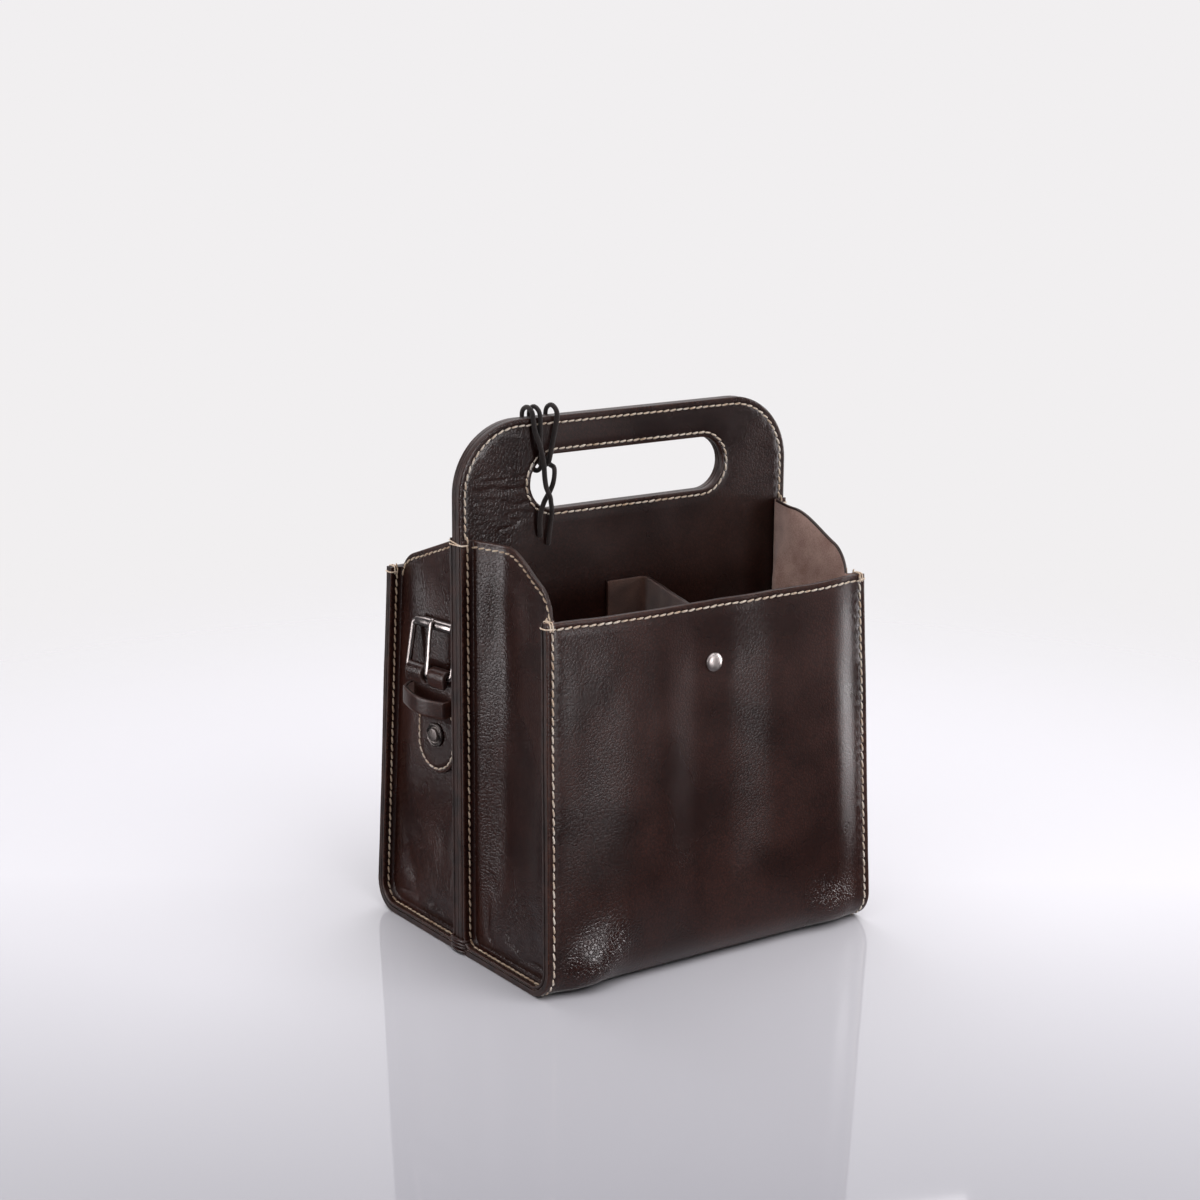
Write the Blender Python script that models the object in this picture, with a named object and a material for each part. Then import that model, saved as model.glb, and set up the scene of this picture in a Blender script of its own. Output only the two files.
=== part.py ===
"""Leather carrier with four pockets, a hand hole in its divider and a roller buckle at each side.

Metres, +Z up, front panel towards -Y, origin on the floor under the middle of the bag.
"""
import math

import bmesh
import bpy
from mathutils import Matrix, Vector

MM = 0.001

# Clearance between touching pieces
GAP = 0.3 * MM

# Leather thicknesses
OUTER_T = 3.0 * MM
GUSSET_T = 1.7 * MM
DIVIDER_T = 3.3 * MM
SEPARATOR_T = 2.4 * MM
TAB_T = 2.4 * MM
KEEPER_T = 1.8 * MM

# Outer sheet: front panel, bottom and rear panel in one piece
TOP_WIDTH = 190.0 * MM
BOTTOM_WIDTH = 197.5 * MM
TOP_DEPTH = 145.5 * MM
BOTTOM_DEPTH = 161.6 * MM
RIM_HEIGHT = 181.5 * MM
FOLD_RADIUS = 15.0 * MM
NOTCH_DEPTH = 9.0 * MM
FOLD_STEPS = 8

# Divider, which rises out of the bag as its handle
FIN_SETBACK = 0.25 * MM
HANDLE_HEIGHT = 263.5 * MM
HANDLE_CORNER_RADIUS = 34.5 * MM
HAND_HOLE_LENGTH = 116.0 * MM
HAND_HOLE_HEIGHT = 27.0 * MM
HANDLE_BAR_HEIGHT = 18.5 * MM
FOOT_CLEARANCE = 0.4 * MM
CORNER_STEPS = 10

# Gussets
GUSSET_HEIGHT = 208.5 * MM
GUSSET_SHOULDER_HEIGHT = 192.5 * MM
GUSSET_DROP_START = 27.0 * MM
GUSSET_DROP_END = 70.0 * MM
GUSSET_ROUND_RUN = 8.4 * MM
REAR_GUSSET_SLOPE_HEIGHT = 187.0 * MM
SEAM_MARGIN = 6.2 * MM
MARGIN_BEND_RADIUS = 2.2 * MM
FIN_FOOT_RADIUS = 6.0 * MM
GUSSET_ROWS = 8
GUSSET_COLUMNS = 13
BEND_STEPS = 3

# Flat seat of the buckle tab on a gusset, behind the outer sheet's edge
SEAT_RECESS = 8.4 * MM
SEAT_BACK = 33.0 * MM
SEAT_HEIGHT = 110.0 * MM
SEAT_SLOPE = 0.14
SEAT_NEAR = 16.0 * MM
SEAT_FAR = 52.0 * MM

# Separators
SEPARATOR_TOP = 178.5 * MM
SEPARATOR_HEIGHT = 56.0 * MM
SEPARATOR_FOLD = 9.5 * MM
SEPARATOR_FLANGE_END = 14.0 * MM
SEPARATOR_FOLD_RADIUS = 3.4 * MM

# Small double cap rivets
RIVET_HEIGHT = 150.5 * MM
CAP_RADIUS = 4.6 * MM
CAP_RISE = 1.8 * MM
CAP_RIM = 0.5 * MM
POST_RADIUS = 1.4 * MM
BACK_RADIUS = 4.4 * MM
BACK_T = 0.9 * MM
TURN_STEPS = 20

# Stepped rivets of the buckle tabs
TAB_RIVET_DROP = 7.3 * MM
RING_RADIUS = 6.0 * MM
RING_CREST = 5.3 * MM
RING_RISE = 1.5 * MM
RECESS_RADIUS = 4.4 * MM
RECESS_FLOOR = 0.6 * MM
STUD_RADIUS = 3.4 * MM
STUD_RISE = 2.2 * MM
TAB_POST_RADIUS = 1.8 * MM

# Buckle tab, keeper and buckle, measured along, across and out of the tab's seat
TAB_WIDTH = 30.0 * MM
TAB_DROP = 26.8 * MM
TAB_LIFT_START = 0.5 * MM
TAB_LIFT_END = 8.5 * MM
BAR_RISE = 24.7 * MM
TAB_END_RISE = 19.3 * MM
TAB_END_TUCK = 0.8 * MM
SLOT_WIDTH = 4.6 * MM
SLOT_RISE = 20.4 * MM
KEEPER_RISE = 14.6 * MM
KEEPER_HEIGHT = 8.6 * MM
KEEPER_SIDE_OUT = 10.5 * MM
KEEPER_CROWN_OUT = 13.6 * MM
KEEPER_SIDE_GAP = 0.5 * MM
KEEPER_CORNER = 2.6 * MM
WIRE_RADIUS = 1.5 * MM
WIRE_TO_LEATHER = 0.2 * MM
WIRE_TO_TAB_EDGE = 0.5 * MM
BUCKLE_PITCH = 24.3 * MM
BUCKLE_CORNER_RADIUS = 2.5 * MM
ROLLER_RADIUS = 2.75 * MM
ROLLER_BORE_RADIUS = 1.8 * MM
ROLLER_SIDE_GAP = 0.4 * MM
PRONG_T = 1.2 * MM
PRONG_WIDTH = 3.4 * MM
PRONG_TIP_WIDTH = 2.2 * MM
PRONG_TO_WIRE = 0.25 * MM
PRONG_EYE_START = 345.0
PRONG_EYE_END = 100.0
PRONG_OVER_ANGLE = 95.0
PRONG_TIP_ANGLE = 38.0
EYE_STEPS = 9

# Lace on the left end of the handle, one cord; points are (x, y, z) in mm
LACE_RADIUS = 1.2 * MM
LACE_STEPS = 78
CURVE_STEPS = 12
LACE_ROUTE = (
    (-49.2, -5.4, 201.0), (-48.6, -5.4, 207.0), (-47.8, -5.6, 213.0), (-48.0, -6.6, 218.5), (-50.2, -9.2, 222.4),
    (-52.2, -11.4, 226.0), (-53.6, -10.2, 230.6), (-53.6, -8.8, 235.6), (-53.8, -8.5, 241.0), (-54.8, -8.4, 246.5),
    (-56.0, -7.6, 252.0), (-57.2, -5.8, 257.5), (-57.8, -5.3, 262.5), (-57.8, -4.1, 266.5), (-57.8, 0.0, 268.4),
    (-57.7, 4.1, 266.5), (-57.4, 5.3, 262.5), (-56.2, 5.4, 254.5), (-54.0, 5.8, 244.0), (-53.2, 4.5, 239.4),
    (-53.0, 0.0, 237.2), (-53.0, -4.2, 239.2), (-53.4, -5.5, 244.0), (-53.7, -5.2, 254.5), (-53.8, -5.3, 262.5),
    (-53.8, -4.1, 266.5), (-53.8, 0.0, 268.4), (-53.6, 4.1, 266.5), (-53.2, 5.3, 262.5), (-51.8, 5.3, 254.5),
    (-49.6, 5.5, 246.0), (-49.2, 4.2, 241.4), (-49.0, 0.0, 239.3), (-48.6, -4.2, 241.4), (-48.0, -5.4, 246.0),
    (-46.0, -5.2, 254.5), (-44.3, -5.3, 262.5), (-44.0, -4.1, 266.5), (-44.0, 0.0, 268.4), (-44.0, 4.1, 266.5),
    (-44.0, 5.3, 262.5), (-44.1, 5.3, 254.5), (-44.3, 5.4, 246.5), (-44.5, 4.1, 241.9), (-44.8, 0.0, 239.4),
    (-45.4, -4.4, 238.6), (-47.2, -7.6, 236.0), (-48.6, -8.4, 231.6), (-49.6, -6.6, 227.0), (-51.8, -5.8, 222.8),
    (-54.0, -6.4, 218.2), (-54.4, -5.8, 212.4), (-53.8, -5.4, 205.5),
)


def clear_scene():
    """Remove every object of the open file."""
    for old in list(bpy.data.objects):
        bpy.data.objects.remove(old, do_unlink=True)


def material(name, colour, roughness, metallic=0.0):
    """One Principled material with a plain colour."""
    made = bpy.data.materials.new(name)
    made.use_nodes = True
    shader = made.node_tree.nodes["Principled BSDF"]
    shader.inputs["Base Color"].default_value = (*colour, 1.0)
    shader.inputs["Roughness"].default_value = roughness
    shader.inputs["Metallic"].default_value = metallic
    made.diffuse_color = (*colour, 1.0)
    return made


LEATHER = ((0.032, 0.018, 0.014), 0.38, 0.0)
FLESH = ((0.075, 0.042, 0.030), 0.60, 0.0)
NICKEL = ((0.56, 0.52, 0.50), 0.25, 1.0)
GUNMETAL = ((0.22, 0.20, 0.19), 0.30, 1.0)
LACE_LEATHER = ((0.012, 0.010, 0.010), 0.55, 0.0)


def finished(name, bm, look, smooth_angle=40.0):
    """Turn a bmesh into a named object with its own material."""
    bmesh.ops.recalc_face_normals(bm, faces=bm.faces)
    mesh = bpy.data.meshes.new(name)
    bm.to_mesh(mesh)
    bm.free()
    mesh.shade_smooth()
    mesh.set_sharp_from_angle(angle=math.radians(smooth_angle))
    made = bpy.data.objects.new(name, mesh)
    bpy.context.scene.collection.objects.link(made)
    made.data.materials.append(material(name, *look))
    return made


def thickened(made, thickness, offset):
    """Give an open sheet its thickness; offset -1 grows inwards from it, 0 grows to both sides."""
    solid = made.modifiers.new("thickness", 'SOLIDIFY')
    solid.thickness = thickness
    solid.offset = offset
    solid.use_even_offset = True
    return made


def cut(made, cutter):
    """Take a closed cutter out of an object, and keep flat faces flat in the shading."""
    cutter.hide_render = True
    cutter.display_type = 'WIRE'
    tool = made.modifiers.new("cut " + cutter.name, 'BOOLEAN')
    tool.operation = 'DIFFERENCE'
    tool.solver = 'EXACT'
    tool.object = cutter
    normals = made.modifiers.new("normals", 'WEIGHTED_NORMAL')
    normals.keep_sharp = True


def placed(made, parent):
    """Parent an object without moving it from the parent's own coordinates."""
    made.parent = parent
    return made


def empty(name, matrix, parent=None):
    """An axis or a seat, as an empty with its own coordinates."""
    made = bpy.data.objects.new(name, None)
    made.empty_display_size = 5 * MM
    bpy.context.scene.collection.objects.link(made)
    made.parent = parent
    made.matrix_local = matrix
    return made


def sheet_mesh(rows):
    """A quad grid from rows of points."""
    bm = bmesh.new()
    grid = [[bm.verts.new(point) for point in row] for row in rows]
    for low, high in zip(grid, grid[1:]):
        for k in range(len(low) - 1):
            bm.faces.new((low[k], low[k + 1], high[k + 1], high[k]))
    return bm


def turned(name, profile, look, closed=False, steps=TURN_STEPS):
    """Revolve a profile of (radius, height) about Z; closed joins its last point to its first."""
    bm = bmesh.new()
    line = [bm.verts.new((radius, 0.0, height)) for radius, height in profile]
    pairs = list(zip(line, line[1:]))
    if closed:
        pairs.append((line[-1], line[0]))
    edges = [bm.edges.new(pair) for pair in pairs]
    bmesh.ops.spin(bm, geom=line + edges, cent=(0, 0, 0), axis=(0, 0, 1), angle=math.tau, steps=steps)
    bmesh.ops.remove_doubles(bm, verts=bm.verts, dist=0.01 * MM)
    return finished(name, bm, look)


def drill(name, radius, length, parent):
    """A round cutter along the Z of its parent, centred on it."""
    bm = bmesh.new()
    bmesh.ops.create_cone(bm, cap_ends=True, segments=TURN_STEPS, radius1=radius, radius2=radius, depth=length)
    return placed(finished(name, bm, NICKEL), parent)


def extruded(name, outline, holes, look, low, high):
    """Fill an upright outline with holes and extrude it along Y from low to high."""
    bm = bmesh.new()
    edges = []
    for loop in [outline] + holes:
        ring = [bm.verts.new((x, low, z)) for x, z in loop]
        edges += [bm.edges.new((ring[k - 1], ring[k])) for k in range(len(ring))]
    bmesh.ops.triangle_fill(bm, edges=edges, use_beauty=True)
    grown = bmesh.ops.extrude_face_region(bm, geom=list(bm.faces))
    moved = [item for item in grown["geom"] if isinstance(item, bmesh.types.BMVert)]
    bmesh.ops.translate(bm, verts=moved, vec=(0.0, high - low, 0.0))
    return finished(name, bm, look)


def arc(centre, radius, start, end, steps):
    """Points of a circle in a plane, angles in degrees."""
    points = []
    for k in range(steps + 1):
        angle = math.radians(start + (end - start) * k / steps)
        points.append((centre[0] + radius * math.cos(angle), centre[1] + radius * math.sin(angle)))
    return points


def smooth_step(value):
    """An S-curve from 0 to 1."""
    value = min(max(value, 0.0), 1.0)
    return value * value * (3 - 2 * value)


# Sizes worked out from the driving dimensions

PANEL_LEAN = math.atan2((BOTTOM_DEPTH - TOP_DEPTH) / 2, RIM_HEIGHT)
SIDE_LEAN = (BOTTOM_WIDTH - TOP_WIDTH) / 2 / RIM_HEIGHT
DIVIDER_HALF = DIVIDER_T + GAP / 2
BOTTOM_INSIDE = OUTER_T + GAP
NOTCH_HALF = DIVIDER_HALF + GAP
FIN_HALF_WIDTH = BOTTOM_WIDTH / 2 - FIN_SETBACK
NOTCH_X = FIN_HALF_WIDTH - NOTCH_DEPTH
HOLE_TOP = HANDLE_HEIGHT - HANDLE_BAR_HEIGHT
HOLE_MIDDLE = HOLE_TOP - HAND_HOLE_HEIGHT / 2


def half_width(height):
    """Half the width of the outer sheet at a height."""
    return BOTTOM_WIDTH / 2 - SIDE_LEAN * height


def panel_line(depth, height):
    """Distance from the middle plane of a panel surface that lies depth inside the outer face."""
    foot = BOTTOM_DEPTH / 2 - depth / math.cos(PANEL_LEAN)
    return foot - math.tan(PANEL_LEAN) * height


def fold_centre():
    """Centre of the bottom fold, as (distance from the middle, height)."""
    return panel_line(FOLD_RADIUS, FOLD_RADIUS), FOLD_RADIUS


def panel_profile(depth):
    """Rim, fold and bottom of a surface depth inside the outer face: (distance, height) points."""
    centre = fold_centre()
    lean = math.degrees(PANEL_LEAN)
    fold = arc(centre, FOLD_RADIUS - depth, lean, -90.0, FOLD_STEPS)
    return [(panel_line(depth, RIM_HEIGHT), RIM_HEIGHT)] + fold


def build_outer_sheet():
    """Front panel, bottom and rear panel: one U of thick leather, notched for the divider's feet."""
    half = panel_profile(0.0) + [(NOTCH_HALF, 0.0)]
    line = [(-distance, height) for distance, height in half] + list(reversed(half))
    rows = []
    for distance, height in line:
        width = half_width(height)
        rows.append([(x, distance, height) for x in (-width, -NOTCH_X, NOTCH_X, width)])
    bm = sheet_mesh(rows)
    notch = []
    for face in bm.faces:
        middle = face.calc_center_median()
        if abs(middle.y) < GAP and abs(middle.x) > NOTCH_X:
            notch.append(face)
    bmesh.ops.delete(bm, geom=notch, context='FACES')
    bmesh.ops.recalc_face_normals(bm, faces=bm.faces)
    down = min(bm.faces, key=lambda face: face.calc_center_median().z)
    if down.normal.z > 0:
        bmesh.ops.reverse_faces(bm, faces=bm.faces)
    mesh = bpy.data.meshes.new("outer_sheet")
    bm.to_mesh(mesh)
    bm.free()
    mesh.shade_smooth()
    mesh.set_sharp_from_angle(angle=math.radians(40))
    sheet = bpy.data.objects.new("outer_sheet", mesh)
    bpy.context.scene.collection.objects.link(sheet)
    mesh.materials.append(material("outer_sheet", *LEATHER))
    return thickened(sheet, OUTER_T, -1.0)


def build_divider():
    """Two equal layers, front and rear, with rounded top corners, the hand hole and a foot at each side."""
    side = FIN_HALF_WIDTH
    corner = HANDLE_CORNER_RADIUS
    foot = NOTCH_X + GAP
    right = [(foot, BOTTOM_INSIDE), (foot, FOOT_CLEARANCE), (side, FOOT_CLEARANCE)]
    right += arc((side - corner, HANDLE_HEIGHT - corner), corner, 0, 90, CORNER_STEPS)
    outline = right + [(-x, z) for x, z in reversed(right)]
    radius = HAND_HOLE_HEIGHT / 2
    reach = HAND_HOLE_LENGTH / 2 - radius
    hole = arc((reach, HOLE_MIDDLE), radius, -90, 90, CORNER_STEPS)
    hole += arc((-reach, HOLE_MIDDLE), radius, 90, 270, CORNER_STEPS)
    pin = POST_RADIUS + GAP
    pin_hole = arc((0.0, RIVET_HEIGHT), pin, 0, 360 - 360 / TURN_STEPS, TURN_STEPS - 1)
    layers = []
    for name, low in (("divider_front_layer", -DIVIDER_HALF), ("divider_rear_layer", GAP / 2)):
        layers.append(extruded(name, outline, [hole, pin_hole], LEATHER, low, low + DIVIDER_T))
    return layers


def gusset_top(distance, near, root, half):
    """Height of a gusset's top edge: an S down from the divider in front, a slope in the rear, round at the rim."""
    drop = smooth_step((distance - GUSSET_DROP_START) / (GUSSET_DROP_END - GUSSET_DROP_START))
    height = GUSSET_HEIGHT + (GUSSET_SHOULDER_HEIGHT - GUSSET_HEIGHT) * drop
    if half > 0:
        share = (distance - near) / (root - near)
        height = GUSSET_HEIGHT + (REAR_GUSSET_SLOPE_HEIGHT - GUSSET_HEIGHT) * share
    round_start = root - GUSSET_ROUND_RUN
    if distance > round_start:
        part = min((distance - round_start) / GUSSET_ROUND_RUN, 1.0)
        height = RIM_HEIGHT + (height - RIM_HEIGHT) * math.sqrt(1 - part * part)
    return height


def gusset_body(distance, height, near, far):
    """Outward distance of a gusset's outer face: a flat seat, drawn out to its roots near and far."""
    seat = half_width(height) - SEAT_RECESS + SEAT_SLOPE * (distance - SEAT_BACK)
    if distance < SEAT_NEAR:
        share = smooth_step((SEAT_NEAR - distance) / (SEAT_NEAR - near))
        return seat + (FIN_HALF_WIDTH - SEAM_MARGIN - seat) * share
    if distance > SEAT_FAR:
        share = smooth_step((distance - SEAT_FAR) / (far - SEAT_FAR))
        return seat + (half_width(height) - SEAM_MARGIN - seat) * share
    return seat


def blend(a, b, share):
    """Point between two points."""
    return tuple(p + (q - p) * share for p, q in zip(a, b))


def spaced(points, count):
    """Points at even steps along a polyline, ends kept."""
    lengths = [0.0]
    for a, b in zip(points, points[1:]):
        lengths.append(lengths[-1] + math.dist(a, b))
    made = []
    for k in range(count + 1):
        want = lengths[-1] * k / count
        leg = max(i for i in range(len(points) - 1) if lengths[i] <= want + 1e-9)
        span = lengths[leg + 1] - lengths[leg]
        made.append(blend(points[leg], points[leg + 1], (want - lengths[leg]) / span))
    return made


def gusset_loop():
    """The seam line of a gusset's mid surface: points, inward normals and outer edge, in three runs.

    The runs are the panel side from the rim down, the bottom towards the divider, and the divider
    side, also from the top down. They meet at the middles of the two lower corners.
    """
    depth = OUTER_T + GAP + GUSSET_T / 2
    fin = DIVIDER_HALF + GAP + GUSSET_T / 2
    centre = fold_centre()
    fold = FOLD_RADIUS - depth
    lean = math.degrees(PANEL_LEAN)
    corner_angle = (lean - 90.0) / 2
    foot_centre = (fin + FIN_FOOT_RADIUS, depth + FIN_FOOT_RADIUS)

    def turned_point(middle, radius, angle):
        outward = (math.cos(math.radians(angle)), math.sin(math.radians(angle)))
        point = (middle[0] + radius * outward[0], middle[1] + radius * outward[1])
        return point, (-outward[0], -outward[1])

    straight_rows = GUSSET_ROWS - 2
    slope = (-math.cos(PANEL_LEAN), -math.sin(PANEL_LEAN))
    panel = []
    start = (panel_line(depth, RIM_HEIGHT), RIM_HEIGHT)
    end, _ = turned_point(centre, fold, lean)
    for k in range(straight_rows + 1):
        panel.append((blend(start, end, k / straight_rows), slope))
    for share in (0.5, 1.0):
        panel.append(turned_point(centre, fold, lean + (corner_angle - lean) * share))

    divider = []
    for k in range(straight_rows + 1):
        height = GUSSET_HEIGHT + (foot_centre[1] - GUSSET_HEIGHT) * k / straight_rows
        divider.append(((fin, height), (1.0, 0.0)))
    for angle in (202.5, 225.0):
        divider.append(turned_point(foot_centre, FIN_FOOT_RADIUS, angle))

    bottom = [turned_point(centre, fold, corner_angle + (-90.0 - corner_angle) * share) for share in (0.0, 0.5, 1.0)]
    flat_columns = GUSSET_COLUMNS - 4
    for k in range(1, flat_columns):
        distance = centre[0] + (foot_centre[0] - centre[0]) * k / flat_columns
        bottom.append(((distance, depth), (0.0, 1.0)))
    for angle in (270.0, 247.5, 225.0):
        bottom.append(turned_point(foot_centre, FIN_FOOT_RADIUS, angle))
    return panel, bottom, divider


def inset(items):
    """The loop's points moved in to where the margin's bend ends."""
    moved = []
    for point, inward in items:
        moved.append((point[0] + inward[0] * MARGIN_BEND_RADIUS, point[1] + inward[1] * MARGIN_BEND_RADIUS))
    return moved


def build_gusset(name, side, half):
    """A thin leather wall whose panel, bottom and divider margins turn outwards to be sewn."""
    panel, bottom, divider = gusset_loop()
    left, low, right = inset(panel), inset(bottom), inset(divider)
    root = left[0][0]
    near = right[0][0]
    edge_line = []
    for k in range(61):
        distance = root + (near - root) * k / 60
        edge_line.append((distance, gusset_top(distance, near, root, half)))
    top = spaced(edge_line, GUSSET_COLUMNS)

    def outward(distance, height):
        foot = panel_line(OUTER_T + GAP + GUSSET_T / 2 + MARGIN_BEND_RADIUS, max(height, FOLD_RADIUS))
        return gusset_body(distance, height, near, max(foot, SEAT_FAR + GAP)) - GUSSET_T / 2

    rows = []
    for k in range(GUSSET_ROWS + 1):
        v = k / GUSSET_ROWS
        row = []
        for i in range(GUSSET_COLUMNS + 1):
            u = i / GUSSET_COLUMNS
            spot = []
            for n in (0, 1):
                sides = (1 - v) * top[i][n] + v * low[i][n] + (1 - u) * left[k][n] + u * right[k][n]
                corners = (1 - v) * ((1 - u) * top[0][n] + u * top[-1][n])
                corners += v * ((1 - u) * low[0][n] + u * low[-1][n])
                spot.append(sides - corners)
            row.append((outward(*spot), spot[0], spot[1]))
        rows.append(row)

    loop = panel + bottom[1:-1] + list(reversed(divider))
    ring = [row[0] for row in rows] + rows[-1][1:-1] + [row[-1] for row in reversed(rows)]
    divider_from = len(panel) + len(bottom) - 2
    strips = []
    for k, ((point, inward), base) in enumerate(zip(loop, ring)):
        if k < divider_from:
            edge = half_width(max(point[1], 0.0))
        else:
            edge = FIN_HALF_WIDTH
        strip = [base]
        for step in range(1, BEND_STEPS + 1):
            angle = math.pi / 2 * step / BEND_STEPS
            out = base[0] + MARGIN_BEND_RADIUS * (1 - math.cos(angle))
            rise = MARGIN_BEND_RADIUS * (1 - math.sin(angle))
            strip.append((out, point[0] + inward[0] * rise, point[1] + inward[1] * rise))
        strip.append((edge, point[0], point[1]))
        strips.append(strip)

    bm = sheet_mesh(rows)
    margin = sheet_mesh(strips)
    spare = bpy.data.meshes.new("margin")
    margin.to_mesh(spare)
    margin.free()
    bm.from_mesh(spare)
    bpy.data.meshes.remove(spare)
    bmesh.ops.remove_doubles(bm, verts=bm.verts, dist=0.01 * MM)
    bmesh.ops.scale(bm, vec=(side, half, 1), verts=bm.verts)
    return thickened(finished(name, bm, LEATHER), GUSSET_T, 0.0)


def separator_path():
    """Plan path of a strap from a panel to the divider: (x, share of the panel, offset) points."""
    run = panel_line(OUTER_T + GAP + SEPARATOR_T / 2, RIVET_HEIGHT)
    near = DIVIDER_HALF + GAP + SEPARATOR_T / 2
    radius = SEPARATOR_FOLD_RADIUS
    span = (2 * SEPARATOR_FOLD, run - near)
    heading = math.degrees(math.atan2(span[1], span[0]))
    reach = radius / math.tan(math.radians(heading / 2))
    fold = arc((-SEPARATOR_FOLD + reach, -run + radius), radius, 270, 90 + heading, 5)
    back = [(-x, -(run + near) - y) for x, y in reversed(fold)]
    return [(SEPARATOR_FLANGE_END, -run)] + fold + back + [(-SEPARATOR_FLANGE_END, -near)]


def build_separator(name, half):
    """A leather strap between panel and divider, its ends folded flat against them and riveted."""
    run = panel_line(OUTER_T + GAP + SEPARATOR_T / 2, RIVET_HEIGHT)
    near = DIVIDER_HALF + GAP + SEPARATOR_T / 2
    rows = []
    for x, y in separator_path():
        share = (-y - near) / (run - near)
        row = []
        for height in (SEPARATOR_TOP - SEPARATOR_HEIGHT, SEPARATOR_TOP):
            lean = math.tan(PANEL_LEAN) * (height - RIVET_HEIGHT) * smooth_step(share)
            row.append((-half * x, -half * (y + lean), height))
        rows.append(row)
    return thickened(finished(name, sheet_mesh(rows), FLESH), SEPARATOR_T, 0.0)


def cap_profile(post_end):
    """A domed cap with its post, from the post's end up to the crown."""
    profile = [(0.0, post_end), (POST_RADIUS, post_end), (POST_RADIUS, GAP), (CAP_RADIUS, GAP)]
    profile.append((CAP_RADIUS, GAP + CAP_RIM))
    for share in (0.85, 0.6, 0.3):
        rise = (CAP_RISE - CAP_RIM) * math.sqrt(1 - share * share)
        profile.append((CAP_RADIUS * share, GAP + CAP_RIM + rise))
    return profile + [(0.0, GAP + CAP_RISE)]


def back_profile(level, bore):
    """A ring that the post is spread into, below the level of the last leather face."""
    top = level - GAP
    return [(bore, top), (bore, top - BACK_T), (BACK_RADIUS - BACK_T / 2, top - BACK_T), (BACK_RADIUS, top)]


def build_panel_rivet(name, half, sheet, separator):
    """Rivet through a panel and a separator's flange, its cap outside."""
    outer = -half * panel_line(0.0, RIVET_HEIGHT)
    turn = Matrix.Rotation(math.radians(90) - PANEL_LEAN, 4, 'X')
    seat = Matrix.Translation((0, outer, RIVET_HEIGHT)) @ turn
    if half < 0:
        seat = Matrix.Rotation(math.pi, 4, 'Z') @ Matrix.Translation((0, -outer, RIVET_HEIGHT)) @ turn
    axis = empty(name + "_axis", seat)
    stack = OUTER_T + GAP + SEPARATOR_T
    placed(turned(name + "_cap", cap_profile(-stack - GAP - BACK_T), NICKEL), axis)
    placed(turned(name + "_back", back_profile(-stack, POST_RADIUS + GAP), NICKEL, closed=True), axis)
    hole = drill(name + "_hole", POST_RADIUS + GAP, 4 * stack, axis)
    cut(sheet, hole)
    cut(separator, hole)


def build_divider_rivet(separators):
    """Rivet through both layers of the divider and the separators' flanges on either side."""
    front = DIVIDER_HALF + GAP + SEPARATOR_T
    seat = Matrix.Translation((0, -front, RIVET_HEIGHT)) @ Matrix.Rotation(math.radians(90), 4, 'X')
    axis = empty("divider_rivet_axis", seat)
    placed(turned("divider_rivet_cap", cap_profile(-2 * front - GAP - BACK_T), NICKEL), axis)
    placed(turned("divider_rivet_back", back_profile(-2 * front, POST_RADIUS + GAP), NICKEL, closed=True), axis)
    hole = drill("divider_rivet_hole", POST_RADIUS + GAP, 6 * front, axis)
    for separator in separators:
        cut(separator, hole)


def tab_seat(side):
    """Coordinates of a tab's seat: X across the tab, Y up it, Z out of the gusset. side is -1 for the left."""
    out = Vector((-1.0, -SEAT_SLOPE, SIDE_LEAN)).normalized()
    up = (Vector((0, 0, 1)) - out * out.z).normalized()
    across = up.cross(out)
    seat = Matrix((across, up, out)).transposed().to_4x4()
    seat.translation = (SEAT_RECESS - half_width(SEAT_HEIGHT), SEAT_BACK, SEAT_HEIGHT)
    if side > 0:
        seat = Matrix.Rotation(math.pi, 4, 'Z') @ seat
    return seat


TAB_LOW = GAP + TAB_T / 2
TAB_HIGH = 2 * GAP + KEEPER_T + GAP + TAB_T / 2
TAB_FOLD_RADIUS = WIRE_RADIUS + WIRE_TO_LEATHER + TAB_T / 2
BAR_OUT = TAB_HIGH + TAB_FOLD_RADIUS


def build_tab(side_name, seat):
    """Leather tab, sewn and riveted below, folded over the buckle's bar above, with the prong's slot."""
    radius = TAB_WIDTH / 2
    rows = []

    def add(half, rise, out):
        rows.append([(-half, rise, out), (half, rise, out)])

    for degrees in (12, 24, 37, 50, 63, 76, 90):
        angle = math.radians(degrees)
        add(radius * math.sin(angle), -TAB_DROP + radius * (1 - math.cos(angle)), TAB_LOW)
    for k in range(7):
        share = k / 6
        rise = TAB_LIFT_START + (TAB_LIFT_END - TAB_LIFT_START) * share
        add(radius, rise, TAB_LOW + (TAB_HIGH - TAB_LOW) * smooth_step(share))
    for k in range(9):
        angle = math.radians(180 - 180 * k / 8)
        add(radius, BAR_RISE + TAB_FOLD_RADIUS * math.sin(angle), BAR_OUT + TAB_FOLD_RADIUS * math.cos(angle))
    add(radius, TAB_END_RISE, BAR_OUT + TAB_FOLD_RADIUS - TAB_END_TUCK)
    tab = thickened(finished(side_name + "_tab", sheet_mesh(rows), LEATHER), TAB_T, 0.0)
    slot_mesh = bmesh.new()
    top = BAR_RISE + TAB_FOLD_RADIUS + TAB_T
    bmesh.ops.create_cube(slot_mesh, size=1.0)
    bmesh.ops.scale(slot_mesh, vec=(SLOT_WIDTH, top - SLOT_RISE, 3 * BAR_OUT), verts=slot_mesh.verts)
    bmesh.ops.translate(slot_mesh, vec=(0, (top + SLOT_RISE) / 2, BAR_OUT), verts=slot_mesh.verts)
    cut(tab, placed(finished(side_name + "_slot", slot_mesh, LEATHER), seat))
    return placed(tab, seat)


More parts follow.
